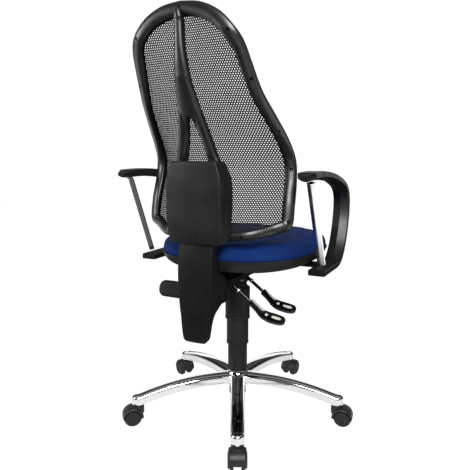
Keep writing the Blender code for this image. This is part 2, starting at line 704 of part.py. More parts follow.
def build_spine(back):
    rib = (
        (1.0980, 0.3185, 0.0040, 0.0085),
        (1.0880, 0.3205, 0.0080, 0.0105),
        (1.0780, 0.3205, 0.0105, 0.0130),
        (1.0700, 0.3190, 0.0115, 0.0200),
        (1.0280, 0.3185, 0.0125, 0.0200),
        (1.0060, 0.3170, 0.0142, 0.0200),
        (0.9840, 0.3145, 0.0166, 0.0200),
        (0.9620, 0.3105, 0.0192, 0.0200),
        (0.9430, 0.3065, 0.0213, 0.0200),
        (0.9080, 0.2925, 0.0268, 0.0200),
        (0.8840, 0.2830, 0.0312, 0.0200),
        (0.8670, 0.2755, 0.0340, 0.0195),
    )
    spine = place_on("back_spine", loft([spine_section(0, y, z, h, d) for z, y, h, d in rib]),
                     FRAME_PLASTIC, back)
    leg = (
        (0.8900, 0.2855, 0.0150, 0.0140, 0.0205),
        (0.8670, 0.2742, 0.0190, 0.0145, 0.0200),
        (0.8470, 0.2665, 0.0238, 0.0145, 0.0200),
        (0.8220, 0.2565, 0.0294, 0.0145, 0.0200),
        (0.7960, 0.2485, 0.0357, 0.0145, 0.0200),
        (0.7700, 0.2430, 0.0422, 0.0150, 0.0200),
        (0.7595, 0.2405, 0.0454, 0.0165, 0.0200),
        (0.7250, 0.2400, 0.0520, 0.0165, 0.0200),
    )
    for side in (-1, 1):
        rings = [spine_section(side * x, y, z, h, d) for z, y, x, h, d in leg]
        boolean(spine, loft(rings), "UNION")
    boolean(spine, box((-0.060, 0.2092, 0.5620), (0.060, 0.2500, 0.7350)), "UNION")
    boolean(spine, box((-0.0265, 0.2312, 0.5400), (0.0265, 0.2468, 0.7450)), "DIFFERENCE")
    smooth_shade(spine, 40)

    slider = place_on("height_slider", box((-0.0262, 0.2315, 0.5700), (0.0262, 0.2465, 0.7300)),
                      DARK_PLASTIC, back)
    opening = box((-BAR_HALF_WIDTH - 0.0005, BAR_REAR - BAR_THICKNESS - 0.0005, 0.5),
                  (BAR_HALF_WIDTH + 0.0005, BAR_REAR + 0.0005, 0.8))
    boolean(slider, opening, "DIFFERENCE")


def channel(stations, wall, name):
    """A rear face with two side walls. Stations: (z, half width at the front, at the rear, front y, rear y)."""
    rings = []
    for z, front_half, rear_half, front, rear in stations:
        crown = rear + 0.06 * rear_half
        outer = [(-front_half, front), (-rear_half, rear - 0.004), (-rear_half + 0.005, rear)]
        outer += [(0.0, crown), (rear_half - 0.005, rear), (rear_half, rear - 0.004), (front_half, front)]
        inner = [(front_half - wall, front), (rear_half - wall, rear - 0.004 - wall * 0.5)]
        inner += [(rear_half - 0.005 - wall * 0.5, rear - wall), (0.0, crown - wall)]
        inner += [(-x, y) for x, y in inner[2::-1]]
        rings.append([Vector((x, y, z)) for x, y in outer + inner])
    return loft(rings, name=name)


def build_back_covers(back, tilt):
    upper = (
        (0.7570, 0.0730, 0.0630, 0.2350, 0.2555),
        (0.7500, 0.0760, 0.0660, 0.2280, 0.2570),
        (0.7250, 0.0805, 0.0740, 0.2100, 0.2590),
        (0.7000, 0.0815, 0.0780, 0.2020, 0.2600),
        (0.6550, 0.0815, 0.0780, 0.2000, 0.2600),
        (0.6100, 0.0810, 0.0780, 0.2030, 0.2600),
        (0.5750, 0.0790, 0.0740, 0.2120, 0.2570),
        (0.5530, 0.0745, 0.0700, 0.2190, 0.2530),
    )
    cover = place_on("back_cover_upper", channel(upper, 0.003, "upper"), COVER_PLASTIC, back)
    smooth_shade(cover, 30)

    lower = (
        (0.5600, 0.0440, 0.0470, 0.2110, 0.2440),
        (0.5480, 0.0450, 0.0487, 0.2075, 0.2468),
        (0.5100, 0.0440, 0.0495, 0.2045, 0.2530),
        (0.4800, 0.0425, 0.0493, 0.2040, 0.2555),
        (0.4680, 0.0415, 0.0490, 0.1900, 0.2565),
        (0.4560, 0.0405, 0.0485, 0.1680, 0.2570),
        (0.4370, 0.0385, 0.0475, 0.1470, 0.2580),
        (0.4100, 0.0370, 0.0450, 0.1490, 0.2590),
        (0.3900, 0.0360, 0.0435, 0.1580, 0.2590),
        (0.3750, 0.0350, 0.0420, 0.1820, 0.2590),
        (0.3600, 0.0340, 0.0400, 0.2070, 0.2590),
        (0.3400, 0.0335, 0.0385, 0.2200, 0.2590),
        (0.3150, 0.0325, 0.0358, 0.2270, 0.2590),
        (0.3010, 0.0305, 0.0330, 0.2310, 0.2580),
        (0.2950, 0.0260, 0.0280, 0.2350, 0.2550),
    )
    cover = place_on("back_cover_lower", channel(lower, 0.003, "lower"), COVER_PLASTIC, tilt)
    smooth_shade(cover, 30)


def build_back_bar(tilt):
    """Flat J-shaped spring-steel bar from the tilt pivot to the back's height slide."""
    middle = BAR_REAR - BAR_THICKNESS / 2
    bend = arc((middle - 0.045, BACK_PIVOT.z + 0.045), 0.045, -90, 0, 7)
    path = [(0.0, BACK_PIVOT.y, BACK_PIVOT.z)] + [(0.0, y, z) for y, z in bend]
    path += [(0.0, middle, BAR_TOP)]
    half, thick = BAR_HALF_WIDTH, BAR_THICKNESS / 2
    section = [(-half, -thick), (half, -thick), (half, thick), (-half, thick)]
    bar = place_on("back_bar", sweep(path, section), BLACK_STEEL, tilt)
    eye = [BACK_PIVOT + Vector((side * half, 0, 0)) for side in (-1, 1)]
    boolean(bar, cylinder(*eye, 0.0115, 16), "UNION")
    pin = [BACK_PIVOT + Vector((side * 0.05, 0, 0)) for side in (-1, 1)]
    boolean(bar, cylinder(*pin, 0.0063, 14), "DIFFERENCE")


# ---------------------------------------------------------------- the chair


def build_chair():
    chair = new_holder("chair", LIFT_AXIS)
    base = new_holder("base_axis", (0, 0, 0), chair)
    column = new_holder("swivel_axis", (0, 0, 0), chair)
    chassis = new_holder("chassis_axis", (0, 0, 0), chair)
    middle = new_holder("cover_axis", (0, 0, 0), chair)
    seat = new_holder("seat_tilt_axis", SEAT_PIVOT, chair)
    tilt = new_holder("back_tilt_axis", BACK_PIVOT, chair)
    back = new_holder("back_height_axis", (0, BAR_REAR, 0.60), chair)
    knob = new_holder("knob_axis", KNOB_AXIS, chair)

    build_base(base)
    build_casters(chair)
    build_lift(base, column, chassis, middle)
    build_mechanism(chassis)
    build_knob(knob)
    for kind, root in LEVER_ROOTS.items():
        build_lever(kind, new_holder(f"{kind}_lever_axis", root, chair))
    build_seat(seat)
    build_armrest("left", 1, seat)
    build_armrest("right", -1, seat)
    build_back_frame(back)
    build_back_mesh(back)
    build_spine(back)
    build_back_covers(back, tilt)
    build_back_bar(tilt)


clear_scene()
CHAIR = new_collection("swivel_office_chair")
HELPERS = new_collection("cutters")
CHROME = new_material("chrome", (0.86, 0.87, 0.88), 0.06, 1.0)
STEEL = new_material("bright_steel", (0.55, 0.55, 0.56), 0.25, 1.0)
BLACK_STEEL = new_material("black_painted_steel", (0.012, 0.012, 0.013), 0.45)
LEVER_STEEL = new_material("dark_polished_rod", (0.05, 0.05, 0.055), 0.2, 0.8)
DARK_PLASTIC = new_material("guide_plastic", (0.03, 0.03, 0.032), 0.5)
CASTER_PLASTIC = new_material("caster_plastic", (0.026, 0.027, 0.027), 0.5)
COVER_PLASTIC = new_material("grained_cover_plastic", (0.018, 0.018, 0.019), 0.55)
GLOSS_PLASTIC = new_material("gloss_lever_plastic", (0.006, 0.006, 0.007), 0.15)
SHELL_PLASTIC = new_material("seat_shell_plastic", (0.032, 0.032, 0.033), 0.5)
ARM_PLASTIC = new_material("armrest_plastic", (0.022, 0.022, 0.023), 0.45)
FRAME_PLASTIC = new_material("back_frame_plastic", (0.02, 0.02, 0.021), 0.35)
MESH_FABRIC = new_material("black_mesh", (0.012, 0.012, 0.013), 0.7)
BLUE_FABRIC = new_material("blue_seat_fabric", (0.004, 0.02, 0.11), 0.85)
PLYWOOD = new_material("plywood", (0.45, 0.3, 0.16), 0.7)
build_chair()
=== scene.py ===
"""Looks of the swivel office chair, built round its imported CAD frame.

Metres, +Z up. The sitter faces -Y, so +Y is the rear and +X is the sitter's left. Shapes are
drawn in the chair's own frame, which stands on the axis of the gas lift, and put() moves them.
"""

import math

import bmesh
import bpy
from mathutils import Matrix, Vector
from mathutils.bvhtree import BVHTree


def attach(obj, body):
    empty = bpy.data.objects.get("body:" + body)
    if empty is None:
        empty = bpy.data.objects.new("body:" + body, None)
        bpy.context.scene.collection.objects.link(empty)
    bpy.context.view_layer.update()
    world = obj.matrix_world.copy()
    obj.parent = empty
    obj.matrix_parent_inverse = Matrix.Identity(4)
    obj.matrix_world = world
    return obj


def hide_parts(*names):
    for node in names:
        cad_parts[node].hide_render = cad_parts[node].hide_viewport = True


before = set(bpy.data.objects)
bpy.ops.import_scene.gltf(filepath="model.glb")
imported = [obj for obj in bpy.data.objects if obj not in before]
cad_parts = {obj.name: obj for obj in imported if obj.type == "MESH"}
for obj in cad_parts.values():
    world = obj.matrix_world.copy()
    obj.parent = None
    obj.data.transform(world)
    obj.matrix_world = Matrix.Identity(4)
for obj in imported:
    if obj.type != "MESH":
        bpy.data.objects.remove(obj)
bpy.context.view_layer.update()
SCENE = bpy.context.scene
LIFT_AXIS = Vector((0.016, 0.012, 0.0))

# A turned shape keeps a needle-thin core, so that its profile stays a closed loop
CORE = 0.0003

# Star base and casters, as in the CAD
ARMS = 5
BASE_TURN = math.radians(115.5)
CASTER_RADIUS = 0.302
ARM_HALF_WIDTH = 0.0185
ARM_DEPTH = 0.027
ARM_CROWN = 0.0010
ARM_ROUNDING = 0.0075
ARM_ROUNDING_DEPTH = 0.0085
HUB_RADIUS = 0.0325
WHEEL_RADIUS = 0.025
CASTER_TRAIL = 0.018

# Levers and knob
LEVER_ROOTS = {"height": Vector((-0.046, 0.030, 0.424)), "tilt": Vector((-0.047, 0.118, 0.4165))}
KNOB_AXIS = Vector((0.0, 0.105, 0.383))

# Seat and armrests
SEAT_HALF_WIDTH = 0.236
SEAT_FRONT = -0.284
SEAT_REAR = 0.197
SHELL_BOTTOM = 0.4620
SEAM_HEIGHT = 0.500
PAD_SWELL = 0.005
PIPING_HEIGHT = 0.5235
PIPING_RADIUS = 0.0008
ARMREST_X = 0.2635
ARM_BAND_WIDTH = 0.047
ARM_BAND_THICKNESS = 0.023

# Half of the back frame's outer edge: (x, y, z, width of the band, degrees of wrap)
BACK_EDGE = (
    (0.000, 0.200, 0.555, 0.025, 0),
    (0.070, 0.200, 0.555, 0.025, 5),
    (0.126, 0.187, 0.560, 0.026, 15),
    (0.178, 0.143, 0.573, 0.028, 25),
    (0.211, 0.124, 0.590, 0.031, 28),
    (0.215, 0.113, 0.645, 0.032, 25),
    (0.213, 0.095, 0.710, 0.032, 22),
    (0.209, 0.094, 0.762, 0.032, 18),
    (0.200, 0.124, 0.812, 0.031, 19),
    (0.185, 0.172, 0.866, 0.030, 21),
    (0.169, 0.220, 0.920, 0.030, 21),
    (0.158, 0.257, 0.980, 0.030, 12),
    (0.149, 0.280, 1.022, 0.031, 7),
    (0.131, 0.296, 1.054, 0.032, 4),
    (0.097, 0.300, 1.088, 0.033, 2),
    (0.051, 0.301, 1.110, 0.034, 0),
    (0.000, 0.301, 1.117, 0.034, 0),
)
FRAME_THICKNESS = 0.016
COVER_WALL = 0.003
MESH_CENTRE = (
    (0.555, 0.1885),
    (0.600, 0.1885),
    (0.660, 0.186),
    (0.740, 0.184),
    (0.820, 0.210),
    (0.920, 0.255),
    (1.000, 0.276),
    (1.117, 0.2885),
)
# Net of staggered openings; a hexagon's corners are in half pitches and thirds of a row
HOLE_PITCH = 0.0058
HOLE_ROW = 0.0050
HOLE_SHARE = (0.238, 0.170)
HEXAGON = ((0, 2), (1, 1), (1, -1), (0, -2), (-1, -1), (-1, 1))

# Studio: the camera stands behind the chair, to the sitter's right
CAMERA_PLACE = (-0.64417, 1.39546, 0.77935)
CAMERA_AIM = (0.42999, -0.88948, -0.15471)
CAMERA_LENS = 40.57
TO_CAMERA = (-0.435, 0.900, 0.0)

# ---- materials


class Nodes:
    """Short ways to add nodes to a tree."""

    def __init__(self, tree, coordinates):
        self.tree = tree
        self.place = self.node("ShaderNodeTexCoord").outputs[coordinates]

    def node(self, kind, inputs=None, **settings):
        made = self.tree.nodes.new(kind)
        for key, value in settings.items():
            setattr(made, key, value)
        for key, value in (inputs or {}).items():
            if isinstance(value, bpy.types.NodeSocket):
                self.tree.links.new(value, made.inputs[key])
            else:
                made.inputs[key].default_value = value
        return made

    def noise(self, scale, detail=3.0, stretch=None):
        place = self.place
        if stretch:
            place = self.node("ShaderNodeMapping", {"Vector": place, "Scale": stretch}).outputs[0]
        made = self.node("ShaderNodeTexNoise", {"Vector": place, "Scale": scale, "Detail": detail})
        return made.outputs["Fac"]

    def ramp(self, value, *stops):
        made = self.node("ShaderNodeValToRGB", {"Fac": value})
        points = made.color_ramp.elements
        while len(points) < len(stops):
            points.new(0.5)
        for point, (position, colour) in zip(points, stops):
            point.position = position
            point.color = (*colour, 1.0)
        return made.outputs["Color"]

    def span(self, value, low, high, start=0.3, end=0.7):
        inputs = {"Value": value, "From Min": start, "From Max": end, "To Min": low, "To Max": high}
        return self.node("ShaderNodeMapRange", inputs).outputs[0]

    def math(self, operation, a, b):
        return self.node("ShaderNodeMath", {0: a, 1: b}, operation=operation).outputs[0]

    def along_camera(self):
        """How far the place lies on the camera's side of the lift, as seen from above."""
        inputs = {0: self.place, 1: TO_CAMERA}
        return self.node("ShaderNodeVectorMath", inputs, operation="DOT_PRODUCT").outputs["Value"]

    def part(self, axis):
        return self.node("ShaderNodeSeparateXYZ", {0: self.place}).outputs[axis]


class Shader(Nodes):
    """A Principled material and the detail of its surface."""

    def __init__(self, name, colour, roughness, **sockets):
        self.material = bpy.data.materials.new(name)
        self.material.use_nodes = True
        super().__init__(self.material.node_tree, "Object")
        self.surface = self.tree.nodes["Principled BSDF"]
        self.surface.inputs["Base Color"].default_value = (*colour, 1.0)
        self.surface.inputs["Roughness"].default_value = roughness
        for socket, value in sockets.items():
            self.surface.inputs[socket.replace("_", " ")].default_value = value
        self.colour = colour
        self.roughness = roughness

    def feed(self, socket, value):
        self.tree.links.new(value, self.surface.inputs[socket])

    def wave(self, axis, pitch):
        settings = {"wave_type": "BANDS", "bands_direction": axis, "wave_profile": "SIN"}
        inputs = {"Vector": self.place, "Scale": 0.31416 / pitch, "Distortion": 0.3}
        return self.node("ShaderNodeTexWave", inputs, **settings).outputs["Fac"]

    def bump(self, height, strength, distance):
        inputs = {"Height": height, "Strength": strength, "Distance": distance}
        self.feed("Normal", self.node("ShaderNodeBump", inputs).outputs["Normal"])

    def mottle(self, spread, scale=14.0, rough=0.06, speckle=0.0):
        """Slow changes of tone and gloss, as handling and moulding leave them."""
        tone = self.noise(scale)
        if speckle:
            spots = self.math("MULTIPLY", self.math("SUBTRACT", self.noise(420.0, 2.0), 0.5), speckle)
            tone = self.math("ADD", tone, spots)
        dark = [c * (1 - spread) for c in self.colour]
        light = [min(c * (1 + spread), 1.0) for c in self.colour]
        self.feed("Base Color", self.ramp(tone, (0.32, dark), (0.68, light)))
        gloss = self.noise(scale * 2.7, 4.0)
        self.feed("Roughness", self.span(gloss, max(self.roughness - rough, 0.02), self.roughness + rough))


def plastic(name, colour, roughness, grain=900.0, depth=0.00004, strength=0.35, speckle=0.0, spread=0.16,
            **sockets):
    shader = Shader(name, colour, roughness, **sockets)
    shader.mottle(spread, speckle=speckle)
    fine, coarse = shader.noise(grain, 2.0), shader.noise(grain / 6, 3.0)
    shader.bump(shader.math("ADD", fine, coarse), strength, depth)
    return shader.material


def metal(name, colour, roughness, brush=None, spread=0.05):
    shader = Shader(name, colour, roughness, Metallic=1.0)
    shader.mottle(spread, scale=22.0, rough=min(roughness * 0.5, 0.05))
    scratches = shader.noise(260.0, 4.0, brush or (1.0, 1.0, 1.0))
    shader.bump(scratches, 0.12 if brush else 0.02, 0.00003)
    return shader.material


def woven(name, colour, pitch, roughness, sheen):
    """Plain woven upholstery: threads along all three axes, so that every side shows them."""
    shader = Shader(name, colour, roughness, Sheen_Weight=sheen, Sheen_Roughness=0.45)
    shader.surface.inputs["Sheen Tint"].default_value = (0.35, 0.5, 1.0, 1.0)
    shader.surface.inputs["Specular IOR Level"].default_value = 0.15
    threads = shader.math("ADD", shader.wave("X", pitch), shader.wave("Y", pitch))
    threads = shader.math("ADD", threads, shader.wave("Z", pitch))
    yarn = shader.math("MULTIPLY", threads, shader.noise(500.0, 2.0))
    slow = shader.noise(9.0, 4.0)
    tone = shader.math("ADD", shader.math("MULTIPLY", yarn, 0.35), shader.math("MULTIPLY", slow, 0.6))
    dark = [c * 0.62 for c in colour]
    light = [c * 1.35 for c in colour]
    shader.feed("Base Color", shader.ramp(tone, (0.3, dark), (0.75, light)))
    shader.feed("Roughness", shader.span(slow, roughness - 0.06, roughness + 0.06))
    shader.bump(yarn, 0.5, 0.0003)
    return shader.material


def plywood():
    shader = Shader("birch_ply", (0.45, 0.3, 0.16), 0.65)
    grain = shader.noise(60.0, 6.0, (1.0, 8.0, 20.0))
    shader.feed("Base Color", shader.ramp(grain, (0.3, (0.34, 0.21, 0.10)), (0.7, (0.56, 0.40, 0.23))))
    shader.feed("Roughness", shader.span(grain, 0.55, 0.75))
    shader.bump(grain, 0.3, 0.0002)
    return shader.material


CHROME = metal("mirror_chrome", (0.92, 0.925, 0.935), 0.045, spread=0.02)
STEEL = metal("machined_steel", (0.55, 0.55, 0.56), 0.26, brush=(1.0, 1.0, 14.0))
ROD_STEEL = metal("dark_rod_steel", (0.045, 0.045, 0.05), 0.2, brush=(14.0, 1.0, 1.0), spread=0.2)
BLACK_STEEL = plastic("powder_coated_steel", (0.004, 0.004, 0.0045), 0.5, 1400.0, Specular_IOR_Level=0.25)
GUIDE = plastic("guide_nylon", (0.020, 0.020, 0.022), 0.5)
CASTER = plastic("caster_nylon", (0.012, 0.0125, 0.013), 0.42, 1200.0, speckle=0.4, Specular_IOR_Level=0.4)
TREAD = plastic("caster_tread", (0.010, 0.010, 0.0105), 0.55, 1500.0, Specular_IOR_Level=0.4)
COVER = plastic("grained_cover", (0.009, 0.009, 0.0095), 0.50, 700.0, 0.00022, 0.9, speckle=1.6, spread=0.5,
                Specular_IOR_Level=0.28)
LOWER_COVER = plastic("grained_cover_dark", (0.0045, 0.0045, 0.005), 0.50, 700.0, 0.0002, 0.9, speckle=1.4,
                      spread=0.4, Specular_IOR_Level=0.2)
GLOSS = plastic("gloss_lever", (0.003, 0.003, 0.0035), 0.12, 300.0, 0.00002, 0.1, Specular_IOR_Level=0.4)
SHELL = plastic("seat_shell_grey", (0.016, 0.016, 0.0155), 0.48, 1000.0, 0.0001, 0.5, speckle=0.5,
                Specular_IOR_Level=0.35)
ARMREST = plastic("armrest_satin", (0.007, 0.007, 0.0075), 0.36, 1000.0, 0.00006, speckle=0.3,
                  Specular_IOR_Level=0.4)
FRAME_GLOSS = plastic("back_frame_satin", (0.0030, 0.0030, 0.0034), 0.36, 700.0, 0.00003,
                      Specular_IOR_Level=0.75, Coat_Weight=0.1, Coat_Roughness=0.2)
NET = plastic("net_polyester", (0.008, 0.008, 0.009), 0.6, 2500.0, 0.0001, 0.6, Specular_IOR_Level=0.2)
HEM = plastic("net_hem", (0.003, 0.003, 0.0035), 0.8, 2000.0, 0.0002, 0.8, Specular_IOR_Level=0.1)
MARK = plastic("cream_mark", (0.62, 0.58, 0.50), 0.5)
BLUE = woven("blue_upholstery", (0.0030, 0.022, 0.125), 0.0016, 0.82, 0.02)
SEAM_BLUE = woven("blue_seam", (0.0055, 0.018, 0.080), 0.0012, 0.85, 0.03)
PLY = plywood()

# ---- mesh helpers


def mix(a, b, t):
    return a + (b - a) * t


def read_off(table, value):
    for (low, first), (high, second) in zip(table, table[1:]):
        if value <= high:
            return mix(first, second, min(max((value - low) / (high - low), 0.0), 1.0))
    return table[-1][1]


def smooth_row(rows, steps):
    """Catmull-Rom points through rows of numbers, with steps points a span."""
    result = []
    for i in range(len(rows) - 1):
        quad = [rows[max(i - 1, 0)], rows[i], rows[i + 1], rows[min(i + 2, len(rows) - 1)]]
        for k in range(steps):
            t = k / steps
            weights = (-t + 2 * t**2 - t**3, 2 - 5 * t**2 + 3 * t**3)
            weights += (t + 4 * t**2 - 3 * t**3, t**3 - t**2)
            result.append([sum(w * v for w, v in zip(weights, column)) / 2 for column in zip(*quad)])
    result.append(list(rows[-1]))
    return result


def arc(centre, radius, first, last, count):
    angles = [math.radians(mix(first, last, i / (count - 1))) for i in range(count)]
    return [(centre[0] + radius * math.cos(a), centre[1] + radius * math.sin(a)) for a in angles]


def loft(rings, closed_path=False):
    """Skins rings of equal point counts, closes the ends of an open path and faces it all outwards."""
    count = len(rings[0])
    points = [tuple(p) for ring in rings for p in ring]
    faces = []
    for i in range(len(rings) if closed_path else len(rings) - 1):
        a, b = i * count, (i + 1) % len(rings) * count
        for j in range(count):
            k = (j + 1) % count
            faces.append((a + j, a + k, b + k, b + j))
    if not closed_path:
        faces += [tuple(range(count)), tuple(range(len(points) - count, len(points)))]
    mesh = bpy.data.meshes.new("shape")
    mesh.from_pydata(points, [], faces)
    bm = bmesh.new()
    bm.from_mesh(mesh)
    bmesh.ops.recalc_face_normals(bm, faces=bm.faces)
    if bm.calc_volume(signed=True) < 0.0:
        bmesh.ops.reverse_faces(bm, faces=bm.faces)
    bm.to_mesh(mesh)
    bm.free()
    return mesh


def turned(profile, steps=64, ribs=0, rib_depth=0.0, rib_span=(0.0, 0.0)):
    """Turns a closed profile of (radius, height) about Z; ribs flute it between two heights."""
    rings = []
    for i in range(steps):
        angle = math.tau * i / steps
        flute = rib_depth * (0.5 - 0.5 * math.cos(angle * ribs)) if ribs else 0.0
        ring = []
        for radius, height in profile:
            r = radius - (flute if rib_span[0] < height < rib_span[1] else 0.0)
            ring.append((r * math.cos(angle), r * math.sin(angle), height))
        rings.append(ring)
    return loft(rings, closed_path=True)


def moved(mesh, matrix):
    copy = mesh.copy()
    copy.transform(matrix)
    return copy


def rod(start, end, radius, steps=24, end_radius=None):
    start, end = Vector(start), Vector(end)
    along = end - start
    far = radius if end_radius is None else end_radius
    turn = Vector((0, 0, 1)).rotation_difference(along).to_matrix().to_4x4()
    rings = []
    for r, height in ((radius, 0.0), (far, along.length)):
        ring = [(r * math.cos(math.tau * i / steps), r * math.sin(math.tau * i / steps), height)
                for i in range(steps)]
        rings.append(ring)
    return moved(loft(rings), Matrix.Translation(start) @ turn)


def block(low, high):
    (x0, y0, z0), (x1, y1, z1) = low, high
    return loft([[(x0, y0, z), (x1, y0, z), (x1, y1, z), (x0, y1, z)] for z in (z0, z1)])


def cut(mesh, steps):
    """Applies (operation, other mesh) in turn with the exact solver."""
    body = bpy.data.objects.new("cut", mesh)
    SCENE.collection.objects.link(body)
    others = []
    for operation, other in steps:
        tool = bpy.data.objects.new("tool", other)
        SCENE.collection.objects.link(tool)
        others.append(tool)
        modifier = body.modifiers.new(operation, "BOOLEAN")
        modifier.operation = operation
        modifier.solver = "EXACT"
        modifier.object = tool
    graph = bpy.context.evaluated_depsgraph_get()
    made = bpy.data.meshes.new_from_object(body.evaluated_get(graph))
    for obj in [body] + others:
        bpy.data.objects.remove(obj, do_unlink=True)
    return made


def put(name, mesh, material, body, instead, angle=35, bevel=0.0):
    """Places a shape drawn in the chair's frame, and makes it ride on a body of the CAD."""
    mesh.materials.clear()
    mesh.materials.append(material)
    mesh.transform(Matrix.Translation(LIFT_AXIS))
    piece = bpy.data.objects.new(name, mesh)
    mesh.name = name
    SCENE.collection.objects.link(piece)
    mesh.shade_smooth()
    mesh.set_sharp_from_angle(angle=math.radians(angle))
    if bevel:
        round_edges(piece, bevel)
    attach(piece, body)
    if instead:
        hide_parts(*instead)
    return piece


def round_edges(piece, width):
    weld = piece.modifiers.new("weld", "WELD")
    weld.merge_threshold = 0.00002
    bevel = piece.modifiers.new("rounding", "BEVEL")
    bevel.width = width
    bevel.segments = 2
    bevel.limit_method = "ANGLE"
    bevel.angle_limit = math.radians(35)
    bevel.use_clamp_overlap = True
    bevel.harden_normals = True


# ---- star base and casters


def arm_top(radius):
    return 0.120 - 0.69 * max(min(radius, CASTER_RADIUS - 0.003) - 0.08, 0.0) ** 2


def base_arm(angle):
    """A polished arm: gently crowned on top, rounded at the edges and upright at the sides."""
    stations = [0.010] + [0.034 + 0.008 * i for i in range(34)]
    stations += [CASTER_RADIUS + ARM_HALF_WIDTH * math.sin(math.radians(6 * i)) for i in range(15)]
    outward = Vector((math.cos(angle), math.sin(angle), 0.0))
    across = Vector((-outward.y, outward.x, 0.0))
    rings = []
    for radius in stations:
        beyond = max(radius - CASTER_RADIUS, 0.0)
        full = ARM_HALF_WIDTH + 0.004 * max(1.0 - radius / 0.20, 0.0)
        half = math.sqrt(max(full**2 - beyond**2, 0.0))
        top, level = arm_top(radius), full - ARM_ROUNDING
        bottom = top - ARM_DEPTH

        def surface(u):
            reach = min(math.hypot(u, beyond), full)
            t = max((reach - level) / (full - level), 0.0)
            fall = ARM_CROWN * (min(reach, level) / level) ** 2
            return top - fall - ARM_ROUNDING_DEPTH * (1 - math.sqrt(1 - t * t))

        right = [(half * 0.89, bottom), (half * 0.98, bottom + 0.002), (half, mix(bottom, top, 0.30))]
        for k in range(9):
            reach = level + (full - level) * math.cos(math.radians(10 * k))
            u = max(math.sqrt(max(reach**2 - beyond**2, 0.0)), half * 0.5)
            right.append((u, surface(u)))
        right += [(half * 0.5 * k, surface(half * 0.5 * k)) for k in (0.8, 0.6, 0.4, 0.2)]
        outline = right + [(0.0, surface(0.0))] + [(-u, z) for u, z in right[::-1]]
        rings.append([outward * radius + across * u + Vector((0, 0, z)) for u, z in outline])
    return loft(rings)


def build_base():
    hub = [(0.0285, 0.1295), (0.0300, 0.1240), (0.0318, 0.1215), (HUB_RADIUS, 0.1195)]
    hub += [(HUB_RADIUS, 0.084), (HUB_RADIUS - 0.003, 0.080), (0.0253, 0.080), (0.0253, 0.1295)]
    steps = [("UNION", base_arm(BASE_TURN + i * math.tau / ARMS)) for i in range(ARMS)]
    steps.append(("DIFFERENCE", rod((0, 0, 0.03), (0, 0, 0.2), 0.0253, 64)))
    shape = cut(turned(hub, 64), steps)
    put("base_star", shape, CHROME, "base", ["star_base"], 40)


def hood_shape():
    """Wheel guard in the caster's own frame: X points outwards from the lift."""
    axle, crown = (CASTER_TRAIL, WHEEL_RADIUS), (CASTER_TRAIL - 0.0015, WHEEL_RADIUS)
    half, fillet = 0.0228, 0.0058
    rings = []
    for side in (-1, 1):
        turns = [math.radians(15 * k) for k in range(7)]
        for turn in turns[::-1] if side < 0 else turns:
            depth = side * (half - fillet * (1 - math.sin(turn)))
            inset = fillet - math.sqrt(max(fillet**2 - (abs(depth) - (half - fillet)) ** 2, 0.0))
            outline = arc(crown, 0.0292 - inset * 0.85, -6, 186, 41) + arc(axle, 0.012, 200, 340, 9)
            rings.append([Vector((x, depth, z)) for x, z in outline])
    boss = [(CORE, 0.034), (0.0165, 0.034), (0.0165, 0.0545), (0.0155, 0.0566), (0.0135, 0.0573)]
    boss += [(CORE, 0.0573)]
    steps = [("UNION", turned(boss, 40))]
    for side in (-1, 1):
        for near, far, radius in ((0.0092, 0.0192, 0.0260), (0.0190, 0.0300, 0.0238)):
            ends = [(CASTER_TRAIL, side * depth, WHEEL_RADIUS) for depth in (near, far)]
            steps.append(("DIFFERENCE", rod(*ends, radius, 64)))
        low, high = sorted((side * 0.0092, side * 0.0300))
        steps.append(("DIFFERENCE", block((-0.02, low, -0.01), (0.06, high, WHEEL_RADIUS - 0.002))))
    across = [(CASTER_TRAIL, side * 0.02, WHEEL_RADIUS) for side in (-1, 1)]
    steps.append(("DIFFERENCE", rod(*across, 0.0043, 24)))
    steps.append(("DIFFERENCE", rod((0, 0, 0.0455), (0, 0, 0.07), 0.0058, 24)))
    return cut(loft(rings), steps)


def wheel_shape(side):
    """A tyred disc with a dished face, turned about the caster's cross axle."""
    profile = [(CORE, 0.0246), (0.0140, 0.0248), (0.0180, 0.0246), (0.0202, 0.0238), (0.0212, 0.0222)]
    profile += [(0.0214, 0.0196), (0.0226, 0.0190), (0.0242, 0.0180), (0.0250, 0.0164), (0.0250, 0.0120)]
    profile += [(0.0247, 0.0106), (0.0236, 0.0098), (0.0043, 0.0098), (0.0043, 0.0222), (CORE, 0.0224)]
    turn = Matrix.Rotation(-side * math.pi / 2, 4, "X")
    axle = Matrix.Translation((CASTER_TRAIL, 0, WHEEL_RADIUS))
    return moved(turned(profile, 72), axle @ turn)


def build_casters():
    hood, wheels = hood_shape(), {"left": wheel_shape(1), "right": wheel_shape(-1)}
    collar = turned([(0.0058, 0.0576), (0.0092, 0.0576), (0.0092, 0.0596), (0.0058, 0.0596)], 40)
    for i in range(ARMS):
        angle = BASE_TURN + i * math.tau / ARMS
        foot = Vector((math.cos(angle), math.sin(angle), 0.0)) * CASTER_RADIUS
        where = Matrix.Translation(foot) @ Matrix.Rotation(angle, 4, "Z")
        name = f"caster_{i + 1}"
        put(f"{name}_guard", moved(hood, where), CASTER, name, [f"{name}_hood"], 32)
        put(f"{name}_collar", moved(collar, where), HEM, name, [])
        for side, shape in wheels.items():
            put(f"{name}_roller_{side}", moved(shape, where), TREAD, f"wheel_{i + 1}_{side}",
                [f"{name}_wheel_{side}"], 32)


# ---- lift covers, knob and levers


